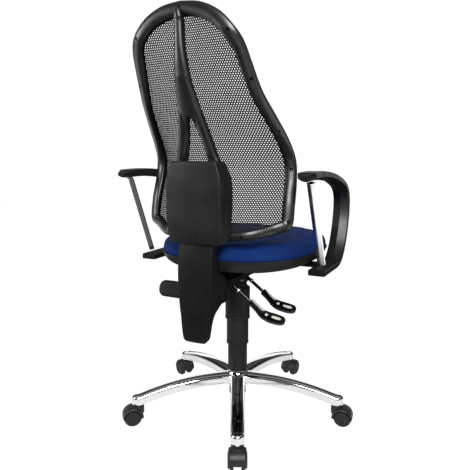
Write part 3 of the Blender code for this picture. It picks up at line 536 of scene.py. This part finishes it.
def build_column():
    lower = [(0.0288, 0.2500), (0.0288, 0.1340), (0.0296, 0.1335), (0.0296, 0.1305), (0.0273, 0.1305)]
    lower += [(0.0273, 0.2500)]
    put("cover_sleeve_low", turned(lower), COVER, "base", ["column_cover_lower"])
    middle = [(0.0320, 0.3080), (0.0325, 0.3070), (0.0325, 0.2190), (0.0331, 0.2184), (0.0331, 0.2126)]
    middle += [(0.0325, 0.2120), (0.0310, 0.2120), (0.0310, 0.3080)]
    put("cover_sleeve_mid", turned(middle), COVER, "cover_middle", ["column_cover_middle"])
    upper = [(0.0270, 0.3985), (0.0276, 0.3980), (0.0283, 0.3900), (0.0300, 0.3893), (0.0302, 0.3878)]
    upper += [(0.0330, 0.3872), (0.0334, 0.3855), (0.0362, 0.3848), (0.0371, 0.3835), (0.0373, 0.3800)]
    upper += [(0.0367, 0.3700), (0.0365, 0.2980), (0.0371, 0.2972), (0.0371, 0.2905), (0.0366, 0.2900)]
    upper += [(0.0350, 0.2900), (0.0355, 0.3790), (0.0270, 0.3845), (0.0262, 0.3980)]
    put("cover_sleeve_top", turned(upper, 72), COVER, "chassis", ["column_cover_upper"])


def build_knob():
    start, end = 0.090, 0.197
    profile = [(CORE, end), (0.012, end), (0.0165, end - 0.0008), (0.0205, end - 0.0028)]
    profile += [(0.0232, end - 0.0065), (0.0243, end - 0.011)]
    profile += [(mix(0.0243, 0.0247, k / 8), mix(end - 0.012, start + 0.02, k / 8)) for k in range(9)]
    profile += [(0.0240, start + 0.010), (0.0225, start + 0.004), (0.0190, start + 0.0004)]
    profile += [(0.0175, start), (0.006, start), (0.006, -0.003), (CORE, -0.003)]
    shape = turned(profile, 192, 24, 0.0016, (start + 0.008, end - 0.010))
    where = Matrix.Translation(KNOB_AXIS) @ Matrix.Rotation(math.pi / 2, 4, "Y")
    put("knob_grip", moved(shape, where), COVER, "knob", ["tension_knob"], 40)


PADDLE = (
    (0.0030, 0.0023, 0.0080, 0.0074),
    (0.0000, 0.0000, 0.0084, 0.0078),
    (-0.0150, -0.0122, 0.0086, 0.0074),
    (-0.0240, -0.0200, 0.0096, 0.0074),
    (-0.0340, -0.0277, 0.0116, 0.0082),
    (-0.0480, -0.0330, 0.0130, 0.0088),
    (-0.0620, -0.0356, 0.0136, 0.0088),
    (-0.0760, -0.0378, 0.0134, 0.0084),
    (-0.0880, -0.0388, 0.0120, 0.0070),
    (-0.0935, -0.0389, 0.0096, 0.0054),
    (-0.0960, -0.0389, 0.0062, 0.0032),
)
PADDLE_LEAN = math.radians(38)


def paddle_frames(start):
    """Centre, direction across, outward normal, half width and half thickness along a paddle."""
    rows = smooth_row(PADDLE, 5)
    frames = []
    for i, (x, z, half, thick) in enumerate(rows):
        before, after = rows[max(i - 1, 0)], rows[min(i + 1, len(rows) - 1)]
        along = Vector((after[0] - before[0], 0, after[1] - before[1])).normalized()
        upright = Vector((along.z, 0, -along.x))
        normal = upright * math.cos(PADDLE_LEAN) + Vector((0, math.sin(PADDLE_LEAN), 0))
        across = Vector((0, math.cos(PADDLE_LEAN), 0)) - upright * math.sin(PADDLE_LEAN)
        frames.append((start + Vector((x, 0, z)), across, normal, half, thick))
    return frames


def paddle_shape(start):
    corners = [(-1, -0.3), (-0.93, -0.75), (-0.7, -1), (-0.3, -1), (0.3, -1), (0.7, -1), (0.93, -0.75)]
    corners += [(1, -0.3), (1, 0.35), (0.95, 0.75), (0.8, 0.97), (0.5, 0.86), (0, 0.78), (-0.5, 0.86)]
    corners += [(-0.8, 0.97), (-0.95, 0.75), (-1, 0.35)]
    rings = []
    for centre, across, normal, half, thick in paddle_frames(start):
        rings.append([centre + across * a * half + normal * b * thick for a, b in corners])
    return loft(rings)


def mark_shape(start, first, last, width):
    """A thin raised pad on a paddle's outer face, from one station to another."""
    frames = paddle_frames(start)[first:last + 1]
    rings = []
    for i, (centre, across, normal, _, thick) in enumerate(frames):
        t = 2 * i / (len(frames) - 1) - 1
        reach = across * width * math.sqrt(max(1 - t**4, 0.12))
        low, high = normal * (thick * 0.60), normal * (thick * 0.82 + 0.0005)
        ring = [low - reach, low + reach, high + reach, high - reach]
        rings.append([centre + corner for corner in ring])
    return loft(rings)


def build_levers():
    for kind, root in LEVER_ROOTS.items():
        body = f"{kind}_lever"
        end = root + Vector((-0.050, 0.0, -0.038))
        along = (end - root).normalized()
        put(f"{kind}_stalk", rod(root, end, 0.0047, 32), ROD_STEEL, body, [f"{kind}_lever_rod"])
        ring = [(0.0049, 0.0), (0.0062, 0.0), (0.0068, 0.0008), (0.0068, 0.0040), (0.0060, 0.0048)]
        ring += [(0.0049, 0.0048)]
        turn = Vector((0, 0, 1)).rotation_difference(along).to_matrix().to_4x4()
        where = Matrix.Translation(root + along * 0.013) @ turn
        put(f"{kind}_stalk_ring", moved(turned(ring, 40), where), CHROME, body, [])
        start = end + along * 0.0012
        put(f"{kind}_finger_paddle", paddle_shape(start), GLOSS, body, [f"{kind}_lever_paddle"],
            50)
        put(f"{kind}_mark_dot", mark_shape(start, 22, 25, 0.0040), MARK, body, [])
        put(f"{kind}_mark_bar", mark_shape(start, 29, 39, 0.0042), MARK, body, [])


# ---- seat


def seat_outline(inset, height, count=128):
    middle = (SEAT_FRONT + SEAT_REAR) / 2
    half_depth = (SEAT_REAR - SEAT_FRONT) / 2 - inset
    half_width = SEAT_HALF_WIDTH - inset
    points = []
    for i in range(count):
        angle = math.tau * i / count
        c, s = math.cos(angle), math.sin(angle)
        x = half_width * math.copysign(abs(c) ** 0.72, c)
        y = middle + half_depth * math.copysign(abs(s) ** 0.72, s)
        taper = 1.0 - 0.17 * max((y + 0.10) / 0.33, 0.0) ** 1.5
        points.append(Vector((x * taper, y, height)))
    return points


def inflate(mesh):
    """Blows the pad up as cloth, with each point's way held to a few millimetres."""
    pad = bpy.data.objects.new("pad", mesh)
    SCENE.collection.objects.link(pad)
    remesh = pad.modifiers.new("remesh", "REMESH")
    remesh.mode = "VOXEL"
    remesh.voxel_size = 0.0055
    graph = bpy.context.evaluated_depsgraph_get()
    pad.data = bpy.data.meshes.new_from_object(pad.evaluated_get(graph))
    pad.modifiers.clear()
    rest = [v.co.copy() for v in pad.data.vertices]
    cloth = pad.modifiers.new("cloth", "CLOTH").settings
    cloth.use_pressure = True
    cloth.uniform_pressure_force = 4.0
    cloth.quality = 5
    cloth.effector_weights.gravity = 0.0
    for step in range(1, 21):
        SCENE.frame_set(step)
    graph = bpy.context.evaluated_depsgraph_get()
    blown = bpy.data.meshes.new_from_object(pad.evaluated_get(graph))
    SCENE.frame_set(1)
    bpy.data.objects.remove(pad, do_unlink=True)
    for vertex, start in zip(blown.vertices, rest):
        way = vertex.co - start
        hold = min(max((start.z - SEAM_HEIGHT) / 0.014, 0.0), 1.0)
        vertex.co = start + way * (hold * min(1.0, PAD_SWELL / max(way.length, 1e-9)))
    return blown


def build_seat():
    low = SHELL_BOTTOM
    rings = [seat_outline(inset, z) for inset, z in (
        (0.050, low), (0.040, low + 0.0015), (0.030, low + 0.0045), (0.022, low + 0.009),
        (0.0145, low + 0.0145), (0.0095, low + 0.021), (0.005, low + 0.029), (0.001, 0.4985),
        (0.0008, 0.4996), (0.0014, SEAM_HEIGHT), (0.0034, SEAM_HEIGHT), (0.0040, 0.4994),
        (0.0080, low + 0.029), (0.013, low + 0.022), (0.021, low + 0.0145), (0.029, low + 0.009),
        (0.051, low + 0.003))]
    put("shell_pan", loft(rings), SHELL, "seat", ["seat_shell"], 50)

    rings = [seat_outline(inset, z) for inset, z in (
        (0.0290, 0.4770), (0.0150, 0.4880), (0.0062, 0.5002), (0.0022, 0.5022), (0.0008, 0.508),
        (0.0003, 0.516), (0.0010, 0.5225), (0.0050, 0.5285), (0.0120, 0.5325), (0.0300, 0.5362),
        (0.0900, 0.5385), (0.1700, 0.5390))]
    shape = inflate(loft(rings))
    for vertex in shape.vertices:
        off = (vertex.co.z - PIPING_HEIGHT) / 0.0036
        if vertex.normal.z < 0.97:
            vertex.co -= vertex.normal * (0.0014 * math.exp(-off * off))
    cushion = put("seat_pad_blue", shape, BLUE, "seat", ["seat_cushion"], 180)
    relax = cushion.modifiers.new("relax", "SMOOTH")
    relax.factor = 0.5
    relax.iterations = 6
    cushion.modifiers.new("subdivide", "SUBSURF").levels = 1

    surface = BVHTree.FromObject(cushion, bpy.context.evaluated_depsgraph_get())
    rows = seat_outline(0.0, PIPING_HEIGHT, 192)
    middle = Vector((0.0, (SEAT_FRONT + SEAT_REAR) / 2, PIPING_HEIGHT)) + LIFT_AXIS
    rings = []
    for i, point in enumerate(rows):
        along = (rows[(i + 1) % len(rows)] - rows[i - 1]).normalized()
        outward = Vector((along.y, -along.x, 0.0))
        start = point + LIFT_AXIS + outward * 0.03
        seam = surface.ray_cast(start, (middle - start).normalized())[0] - LIFT_AXIS
        section = arc((-0.0002, 0), PIPING_RADIUS, 0, 315, 8)
        rings.append([seam + outward * u + Vector((0, 0, v)) for u, v in section])
    piping = loft(rings, closed_path=True)
    put("seat_pad_seam", piping, SEAM_BLUE, "seat", [], 80)


# ---- armrests


def armrest_rows():
    """(y, z, width) down the middle of the loop's band, from its rear tip round to the block."""
    knots = [(0.196, 0.7165, 0.45), (0.170, 0.7195, 1.0), (0.150, 0.7205, 1.0), (0.100, 0.7215, 1.0)]
    knots += [(0.050, 0.7185, 1.0), (0.000, 0.7130, 1.0), (-0.050, 0.7040, 1.0), (-0.100, 0.6910, 1.0)]
    knots += [(-0.138, 0.6740, 1.0), (-0.157, 0.650, 1.0), (-0.160, 0.620, 1.0), (-0.153, 0.580, 1.0)]
    knots += [(-0.138, 0.540, 1.0), (-0.117, 0.505, 1.0), (-0.088, 0.478, 1.0), (-0.055, 0.4695, 1.0)]
    knots += [(-0.010, 0.4695, 1.0), (0.030, 0.4695, 1.0), (0.0745, 0.4695, 1.0)]
    return knots[:1] + smooth_row(knots[1:], 4)


def armrest_shape(side):
    half, flat = ARM_BAND_WIDTH / 2, ARM_BAND_THICKNESS / 2
    outline = [(-half, -flat + 0.0035), (-half + 0.0012, -flat + 0.0010), (-half + 0.0040, -flat)]
    outline += [(half - 0.0040, -flat), (half - 0.0012, -flat + 0.0010), (half, -flat + 0.0035)]
    outline += [(half, flat * 0.18), (half - 0.0010, flat * 0.32), (0.0020, flat * 0.95), (0.0, flat)]
    outline += [(-0.0020, flat * 0.95), (-half + 0.0010, flat * 0.32), (-half, flat * 0.18)]
    rows = armrest_rows()
    rings = []
    for i, (y, z, width) in enumerate(rows):
        ahead, behind = rows[min(i + 1, len(rows) - 1)], rows[max(i - 1, 0)]
        along = Vector((0, ahead[0] - behind[0], ahead[1] - behind[1])).normalized()
        normal = Vector((0.0, -along.z, along.y))
        centre = Vector((side * ARMREST_X, y, z))
        thin = 0.55 if i == 0 else 1.0
        rings.append([centre + Vector((u * width, 0, 0)) + normal * v * thin for u, v in outline])
    return loft(rings)


def build_armrests():
    for label, side in (("left", 1), ("right", -1)):
        put(f"armrest_band_{label}", armrest_shape(side), ARMREST, "seat", [f"arm_loop_{label}"],
            22, bevel=0.0008)
        low = Vector((side * (ARMREST_X + 0.006), 0.0510, 0.4868))
        high = Vector((side * (ARMREST_X + 0.004), 0.1490, 0.7065))
        along = (high - low).normalized()
        rear = Vector((0.0, along.z, -along.y)).normalized()
        across = rear.cross(along).normalized()
        outline = [(-0.0115, 0.0), (-0.0100, 0.0030), (-0.0012, 0.0092), (0.0012, 0.0092), (0.0100, 0.0030)]
        outline += [(0.0115, 0.0), (0.0014, -0.0070), (-0.0014, -0.0070)]
        rings = []
        for t in (0.0, 0.25, 0.5, 0.75, 1.0):
            point = low.lerp(high, t)
            rings.append([point + across * u + rear * v for u, v in outline])
        put(f"armrest_strut_{label}", loft(rings), CHROME, "seat", [f"arm_strut_{label}"], 20,
            bevel=0.0007)


# ---- back


def frame_axes():
    """For each edge point: (edge, inward direction, rearward direction, width)."""
    half = smooth_row(BACK_EDGE, 8)
    rows = half + [[-row[0], *row[1:4], -row[4]] for row in half[-2:0:-1]]
    axes = []
    for i, (x, y, z, width, wrap) in enumerate(rows):
        before, after = Vector(rows[i - 1][:3]), Vector(rows[(i + 1) % len(rows)][:3])
        along = (after - before).normalized()
        turn = math.radians(wrap)
        rear = Vector((math.sin(turn), math.cos(turn), 0.0))
        rear = (rear - along * rear.dot(along)).normalized()
        axes.append((Vector((x, y, z)), along.cross(rear).normalized(), rear, width))
    return axes


SCREW_HEIGHTS = (1.117, 1.054, 0.948, 0.842, 0.735, 0.600)


def screw_seats(axes):
    """Places of the countersunk screws round the rear of the frame."""
    rows = [axes[i] for i in range(len(axes)) if abs(axes[i][0].x) > 0.012 or axes[i][0].z > 1.0]
    seats = []
    for side in (-1, 1):
        for height in SCREW_HEIGHTS:
            near = [row for row in rows if row[0].x * side >= 0.0]
            seats.append(min(near, key=lambda row: abs(row[0].z - height)))
        low = [row for row in rows if row[0].z < 0.58 and row[0].x * side > 0.0]
        seats.append(min(low, key=lambda row: abs(abs(row[0].x) - 0.105)))
    places = []
    for edge, inward, rear, width in seats[1:]:
        places.append((edge + inward * width * 0.45 + rear * (FRAME_THICKNESS / 2 - 0.0002), rear))
    return places


def build_back_frame(axes):
    rings = []
    for edge, inward, rear, width in axes:
        ring = []
        for i in range(28):
            angle = math.tau * (i + 0.5) / 28
            c, s = math.cos(angle), math.sin(angle)
            u = width / 2 * (1 - math.copysign(abs(c) ** (1.0 if s > 0 else 0.8), c))
            v = FRAME_THICKNESS / 2 * (s if s > 0 else -(abs(s) ** 0.7))
            ring.append(edge + inward * u + rear * v)
        rings.append(ring)
    seats = screw_seats(axes)
    steps = []
    for place, rear in seats:
        steps.append(("DIFFERENCE", rod(place - rear * 0.0036, place + rear * 0.0014, 0.0026, 20, 0.0054)))
    put("back_hoop", cut(loft(rings, closed_path=True), steps), FRAME_GLOSS, "back", ["back_frame"],
        50)
    heads = bmesh.new()
    for place, rear in seats:
        heads.from_mesh(rod(place - rear * 0.0035, place - rear * 0.0024, 0.0024, 20, 0.0019))
    mesh = bpy.data.meshes.new("screws")
    heads.to_mesh(mesh)
    heads.free()
    put("back_hoop_screws", mesh, BLACK_STEEL, "back", [])


def mesh_half_widths(axes):
    """(z, (half width, y at the side)) of the net where it is held in the frame."""
    table = []
    for i in range(1, len(axes) // 2):
        edge, inward, rear, width = axes[i]
        tuck = edge + inward * width * 0.72 + rear * (-FRAME_THICKNESS / 2 - 0.0020)
        if tuck.x > 0.006 and (not table or tuck.z > table[-1][0] + 0.0004):
            table.append((tuck.z, tuck.x, tuck.y))
    return table


def build_net(axes):
    """Knitted net: a honeycomb of strands round staggered openings, each a hole in the mesh."""
    table = mesh_half_widths(axes)
    widths = [(z, x) for z, x, _ in table]
    sides = [(z, y) for z, _, y in table]
    bottom, top = table[0][0], table[-1][0]

    def on_net(x, z):
        z = min(max(z, bottom), top)
        half = read_off(widths, z)
        t = min(max(x / half, -1.0), 1.0)
        y = mix(read_off(sides, z), read_off(MESH_CENTRE, z), max(1 - t * t, 0.0))
        return (half * t, y - 0.0008, z)

    points, faces, corners = [], [], {}
    for j in range(int((top - bottom) / HOLE_ROW) + 2):
        z = bottom + j * HOLE_ROW
        half = read_off(widths, min(z, top))
        for i in range(-40, 41):
            x = (i + 0.5 * (j % 2)) * HOLE_PITCH
            if abs(x) > half + HOLE_PITCH * 0.3:
                continue
            ring = []
            for dx, dz in HEXAGON:
                key = (2 * i + j % 2 + dx, 3 * j + dz)
                if key not in corners:
                    corners[key] = len(points)
                    points.append(on_net(x + dx * HOLE_PITCH / 2, z + dz * HOLE_ROW / 3))
                ring.append(corners[key])
            hole = len(points)
            for dx, dz in HEXAGON:
                wide, high = dx * HOLE_PITCH * HOLE_SHARE[0], dz * HOLE_ROW * HOLE_SHARE[1]
                points.append(on_net(x + wide, z + high))
            for k in range(6):
                m = (k + 1) % 6
                faces.append((ring[k], ring[m], hole + m, hole + k))
    shape = bpy.data.meshes.new("net")
    shape.from_pydata(points, [], faces)
    net = put("back_net", shape, NET, "back", ["back_mesh"], 80)
    solid = net.modifiers.new("thickness", "SOLIDIFY")
    solid.thickness = 0.0006
    solid.offset = 0.0

    rings = []
    for edge, inward, rear, width in axes:
        base = edge - rear * (FRAME_THICKNESS / 2)
        outline = [(0.50 * width, -0.0004), (width - 0.0030, -0.0004), (width - 0.0010, -0.0012)]
        outline += [(width - 0.0022, -0.0024), (0.52 * width, -0.0034), (0.49 * width, -0.0018)]
        rings.append([base + inward * u + rear * v for u, v in outline])
    put("back_net_hem", loft(rings, closed_path=True), HEM, "back", [], 50)


def spine_ring(x, y, z, half, depth):
    """A section with a crowned rear face and rounded shoulders."""
    outline = [(-0.99, -0.50), (-0.93, -0.34), (-0.80, -0.20), (-0.60, -0.09), (-0.35, -0.03)]
    outline += [(0.0, 0.0)] + [(-u, v) for u, v in outline[::-1]]
    round_off = max(depth, half * 0.78)
    crown = [(u, max(v * round_off, -0.80 * depth)) for u, v in outline]
    ring = [(-1.0, -0.82 * depth)] + crown + [(1.0, -0.82 * depth), (0.90, -depth), (-0.90, -depth)]
    return [Vector((x + u * half, y + v, z)) for u, v in ring]


def build_spine():
    rib = (
        (1.0980, 0.3185, 0.0040, 0.0085),
        (1.0880, 0.3205, 0.0080, 0.0105),
        (1.0780, 0.3205, 0.0105, 0.0130),
        (1.0700, 0.3190, 0.0115, 0.0200),
        (1.0280, 0.3185, 0.0125, 0.0200),
        (1.0060, 0.3170, 0.0142, 0.0200),
        (0.9840, 0.3145, 0.0166, 0.0200),
        (0.9620, 0.3105, 0.0192, 0.0200),
        (0.9430, 0.3065, 0.0213, 0.0200),
        (0.9080, 0.2925, 0.0268, 0.0200),
        (0.8840, 0.2830, 0.0312, 0.0200),
        (0.8560, 0.2710, 0.0360, 0.0195),
        (0.8400, 0.2620, 0.0372, 0.0180),
        (0.8220, 0.2520, 0.0400, 0.0160),
        (0.7960, 0.2395, 0.0440, 0.0120),
        (0.7850, 0.2330, 0.0450, 0.0090),
    )
    edge = ((0.0289, 0.7590), (0.0272, 0.7700), (0.0212, 0.7960), (0.0149, 0.8220), (0.0093, 0.8470),
            (0.0040, 0.8590), (0.0012, 0.8635))
    notch = list(edge) + [(-x, z) for x, z in edge[::-1]]
    leg = (
        (0.8900, 0.2800, 0.0150, 0.0120, 0.0185),
        (0.8670, 0.2742, 0.0190, 0.0145, 0.0200),
        (0.8470, 0.2665, 0.0238, 0.0145, 0.0200),
        (0.8220, 0.2565, 0.0294, 0.0145, 0.0200),
        (0.7960, 0.2485, 0.0357, 0.0145, 0.0200),
        (0.7700, 0.2430, 0.0422, 0.0150, 0.0200),
        (0.7595, 0.2405, 0.0454, 0.0165, 0.0200),
        (0.7250, 0.2400, 0.0520, 0.0165, 0.0200),
    )
    steps = []
    for side in (-1, 1):
        rings = [spine_ring(side * x, y, z, h, d) for z, y, x, h, d in smooth_row(leg, 3)]
        steps.append(("UNION", loft(rings)))
    steps.append(("DIFFERENCE", loft([[(x, y, z) for x, z in notch] for y in (0.20, 0.32)])))
    steps.append(("UNION", block((-0.060, 0.2092, 0.5620), (0.060, 0.2500, 0.7350))))
    steps.append(("DIFFERENCE", block((-0.0265, 0.2312, 0.5400), (0.0265, 0.2468, 0.7450))))
    shape = cut(loft([spine_ring(0, y, z, h, d) for z, y, h, d in smooth_row(rib, 3)]), steps)
    spine = put("back_spine_rib", shape, FRAME_GLOSS, "back", ["back_spine"], 60)
    blend = spine.modifiers.new("blend", "REMESH")
    blend.mode = "VOXEL"
    blend.voxel_size = 0.0014
    blend.use_smooth_shade = True
    soften = spine.modifiers.new("soften", "SMOOTH")
    soften.factor = 0.6
    soften.iterations = 9


def channel(stations):
    """A rounded rear face with two side walls, open to the front.

    Stations: (z, half width at the front, half width at the rear, front y, rear y).
    """
    rings = []
    for z, front_half, rear_half, front, rear in smooth_row(stations, 3):
        crown = rear + 0.06 * rear_half
        corner = Vector((rear_half - 0.0045, rear - 0.0045))
        side = [(front_half, front), (mix(front_half, rear_half, 0.5), mix(front, rear - 0.005, 0.5))]
        side += [(corner.x + 0.0045 * math.cos(a), corner.y + 0.0045 * math.sin(a))
                 for a in (0.0, 0.4, 0.8, 1.2, 1.5)]
        side += [(rear_half * 0.6, mix(rear, crown, 0.55)), (rear_half * 0.3, mix(rear, crown, 0.88))]
        outer = [(-x, y) for x, y in side] + [(0.0, crown)] + side[::-1]
        inner = []
        for x, y in outer[::-1]:
            step = COVER_WALL if y > front + 0.012 else 0.0
            inner.append((x - math.copysign(min(COVER_WALL, abs(x)), x), y - step))
        rings.append([Vector((x, y, z)) for x, y in outer + inner])
    return loft(rings)


def build_covers():
    upper = (
        (0.7580, 0.0720, 0.0625, 0.2370, 0.2535),
        (0.7560, 0.0735, 0.0638, 0.2345, 0.2560),
        (0.7500, 0.0760, 0.0660, 0.2280, 0.2572),
        (0.7250, 0.0805, 0.0740, 0.2100, 0.2590),
        (0.7000, 0.0815, 0.0780, 0.2020, 0.2600),
        (0.6550, 0.0815, 0.0780, 0.2000, 0.2600),
        (0.6100, 0.0810, 0.0780, 0.2030, 0.2600),
        (0.5750, 0.0790, 0.0740, 0.2120, 0.2570),
        (0.5530, 0.0745, 0.0700, 0.2190, 0.2530),
    )
    put("slide_cover", channel(upper), COVER, "back", ["back_cover_upper"],
        40, bevel=0.0012)
    lower = (
        (0.5600, 0.0440, 0.0470, 0.2110, 0.2440),
        (0.5480, 0.0450, 0.0487, 0.2075, 0.2468),
        (0.5100, 0.0440, 0.0495, 0.2045, 0.2530),
        (0.4800, 0.0425, 0.0493, 0.2040, 0.2555),
        (0.4680, 0.0415, 0.0490, 0.1900, 0.2565),
        (0.4560, 0.0405, 0.0485, 0.1680, 0.2570),
        (0.4370, 0.0385, 0.0475, 0.1470, 0.2580),
        (0.4100, 0.0370, 0.0450, 0.1490, 0.2590),
        (0.3900, 0.0360, 0.0435, 0.1580, 0.2590),
        (0.3750, 0.0350, 0.0420, 0.1820, 0.2590),
        (0.3600, 0.0340, 0.0400, 0.2070, 0.2590),
        (0.3400, 0.0335, 0.0385, 0.2200, 0.2590),
        (0.3150, 0.0325, 0.0358, 0.2270, 0.2590),
        (0.3010, 0.0305, 0.0330, 0.2310, 0.2580),
        (0.2950, 0.0260, 0.0280, 0.2350, 0.2550),
    )
    put("j_bar_cover", channel(lower), LOWER_COVER, "tilt", ["back_cover_lower"],
        40, bevel=0.0007)


# ---- parts kept from the CAD


KEPT = {
    STEEL: ["lift_inner_cylinder", "lift_piston_rod", "lift_thrust_bearing", "back_pivot_axle",
            "seat_pivot_axle", "tension_spring"]
    + [f"caster_{i + 1}_{part}" for i in range(ARMS) for part in ("stem", "axle")],
    BLACK_STEEL: ["lift_outer_tube", "mechanism_housing", "seat_plate", "arm_bracket_left",
                  "arm_bracket_right", "back_bar"],
    GUIDE: ["lift_guide_bush", "height_slider"],
    PLY: ["seat_board"],
}


def dress_frame():
    """Gives the kept CAD parts their finishes, and rounds the edges of those that show."""
    for material, names in KEPT.items():
        for name in names:
            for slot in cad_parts[name].material_slots:
                slot.link = "OBJECT"
                slot.material = material
    for name in ("arm_bracket_left", "arm_bracket_right", "back_bar", "mechanism_housing"):
        round_edges(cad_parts[name], 0.0008)


# ---- studio


def build_world():
    """A white cyclorama to the eye; the chair itself mirrors a bright low wall under a dark ceiling."""
    world = bpy.data.worlds.new("studio")
    world.use_nodes = True
    sky = Nodes(world.node_tree, "Generated")
    tones = []
    for value, stops in (
        (sky.along_camera(), ((-0.82, 1.0), (-0.62, 0.10), (0.05, 0.07), (0.45, 0.14), (0.9, 0.16))),
        (sky.part("Z"), ((-0.2, 1.0), (0.295, 1.0), (0.325, 0.04), (0.85, 0.10))),
    ):
        stops = [((position + 1.0) / 2.0, (tone, tone, tone)) for position, tone in stops]
        tones.append(sky.ramp(sky.span(value, 0.0, 1.0, -1.0, 1.0), *stops))
    both = sky.node("ShaderNodeMixRGB", {0: 1.0, 1: tones[0], 2: tones[1]}, blend_type="MULTIPLY")
    around = sky.node("ShaderNodeBackground", {"Color": both.outputs[0]})
    white = sky.node("ShaderNodeBackground", {"Color": (1.0, 1.0, 1.0, 1.0), "Strength": 1.05})
    eye = sky.node("ShaderNodeLightPath").outputs["Is Camera Ray"]
    choose = sky.node("ShaderNodeMixShader", {0: eye, 1: around.outputs[0], 2: white.outputs[0]})
    sky.tree.links.new(choose.outputs[0], sky.tree.nodes["World Output"].inputs["Surface"])
    SCENE.world = world
    SCENE.view_settings.view_transform = "Standard"
    SCENE.view_settings.look = "None"


def floor_paint():
    """White to the eye; in reflections bright only close by, and in three sectors further out."""
    shader = Shader("studio_floor", (0.7, 0.7, 0.7), 0.9)
    path = shader.node("ShaderNodeLightPath")
    eye = path.outputs["Is Camera Ray"]
    away = shader.node("ShaderNodeVectorMath", {0: shader.place}, operation="LENGTH").outputs["Value"]
    rear, side = shader.along_camera(), shader.part("X")
    near = shader.math("MULTIPLY", shader.span(away, 1.0, 0.0, 0.60, 1.05),
                       shader.span(path.outputs["Ray Length"], 1.0, 0.03, 0.42, 0.60))
    far = 0.0
    for reach, low, high, glow, start in (
        (rear, 0.94, 0.98, 0.7, 1.2), (side, 0.74, 0.86, 1.6, 1.2), (side, -0.84, -0.93, 1.4, 0.7)
    ):
        sector = shader.span(shader.math("DIVIDE", reach, away), 0.0, glow, low, high)
        sector = shader.math("MULTIPLY", sector, shader.span(away, 0.0, 1.0, start, start + 0.3))
        far = shader.math("MAXIMUM", sector, far)
    lit = shader.math("MAXIMUM", near, shader.math("MINIMUM", far, 1.0))
    # The floor's base colour is painted light: bright where lit is high (close by and in three sectors),
    # dark grey elsewhere, times a faint grain
    grain = shader.math("MULTIPLY", lit, shader.span(shader.noise(0.7), 0.97, 1.03))
    shader.feed("Base Color", shader.ramp(grain, (0.0, (0.08, 0.08, 0.08)), (1.0, (0.60, 0.60, 0.60))))
    shader.surface.inputs["Specular IOR Level"].default_value = 0.0
    shader.surface.inputs["Emission Color"].default_value = (1.0, 1.0, 1.0, 1.0)
    seen = shader.math("MULTIPLY", eye, shader.span(lit, 1.0, 0.86, 0.0, 1.0))
    glow = shader.math("ADD", shader.math("MULTIPLY", near, 0.26), shader.math("MULTIPLY", far, 0.6))
    unseen = shader.math("MULTIPLY", shader.math("SUBTRACT", 1.0, eye), glow)
    shader.feed("Emission Strength", shader.math("ADD", seen, unseen))
    return shader.material


def build_studio():
    span, low = 7.0, -0.0006
    floor_mesh = bpy.data.meshes.new("floor")
    floor_mesh.from_pydata([(-span, -span, low), (span, -span, low), (span, span, low), (-span, span, low)],
                           [], [(0, 1, 2, 3)])
    floor = bpy.data.objects.new("floor", floor_mesh)
    SCENE.collection.objects.link(floor)
    floor_mesh.materials.append(floor_paint())
    build_world()

    lamps = (
        ("key", (-1.20, 2.00, 2.10), 1.3, 85.0),
        ("fill", (1.95, 1.65, 1.35), 1.1, 30.0),
        ("front", (0.4, -2.4, 2.2), 1.5, 22.0),
    )
    for name, spot, size, power in lamps:
        light = bpy.data.lights.new(name, "AREA")
        light.size = size
        light.energy = power
        lamp = bpy.data.objects.new(name, light)
        SCENE.collection.objects.link(lamp)
        lamp.location = spot
        aim = Vector((0.0, 0.05, 0.55)) - Vector(spot)
        lamp.rotation_mode = "QUATERNION"
        lamp.rotation_quaternion = aim.to_track_quat("-Z", "Y")
        lamp.visible_glossy = name != "front"
    sun = bpy.data.lights.new("ceiling", "SUN")
    sun.energy = 0.5
    sun.angle = math.radians(100)
    lamp = bpy.data.objects.new("ceiling", sun)
    SCENE.collection.objects.link(lamp)

    view = bpy.data.cameras.new("camera")
    view.sensor_width = 36.0
    view.lens = CAMERA_LENS
    camera = bpy.data.objects.new("camera", view)
    SCENE.collection.objects.link(camera)
    camera.location = CAMERA_PLACE
    camera.rotation_mode = "QUATERNION"
    camera.rotation_quaternion = Vector(CAMERA_AIM).to_track_quat("-Z", "Y")
    SCENE.camera = camera


build_studio()
dress_frame()
build_base()
build_casters()
build_column()
build_knob()
build_levers()
build_seat()
build_armrests()
AXES = frame_axes()
build_back_frame(AXES)
build_net(AXES)
build_spine()
build_covers()
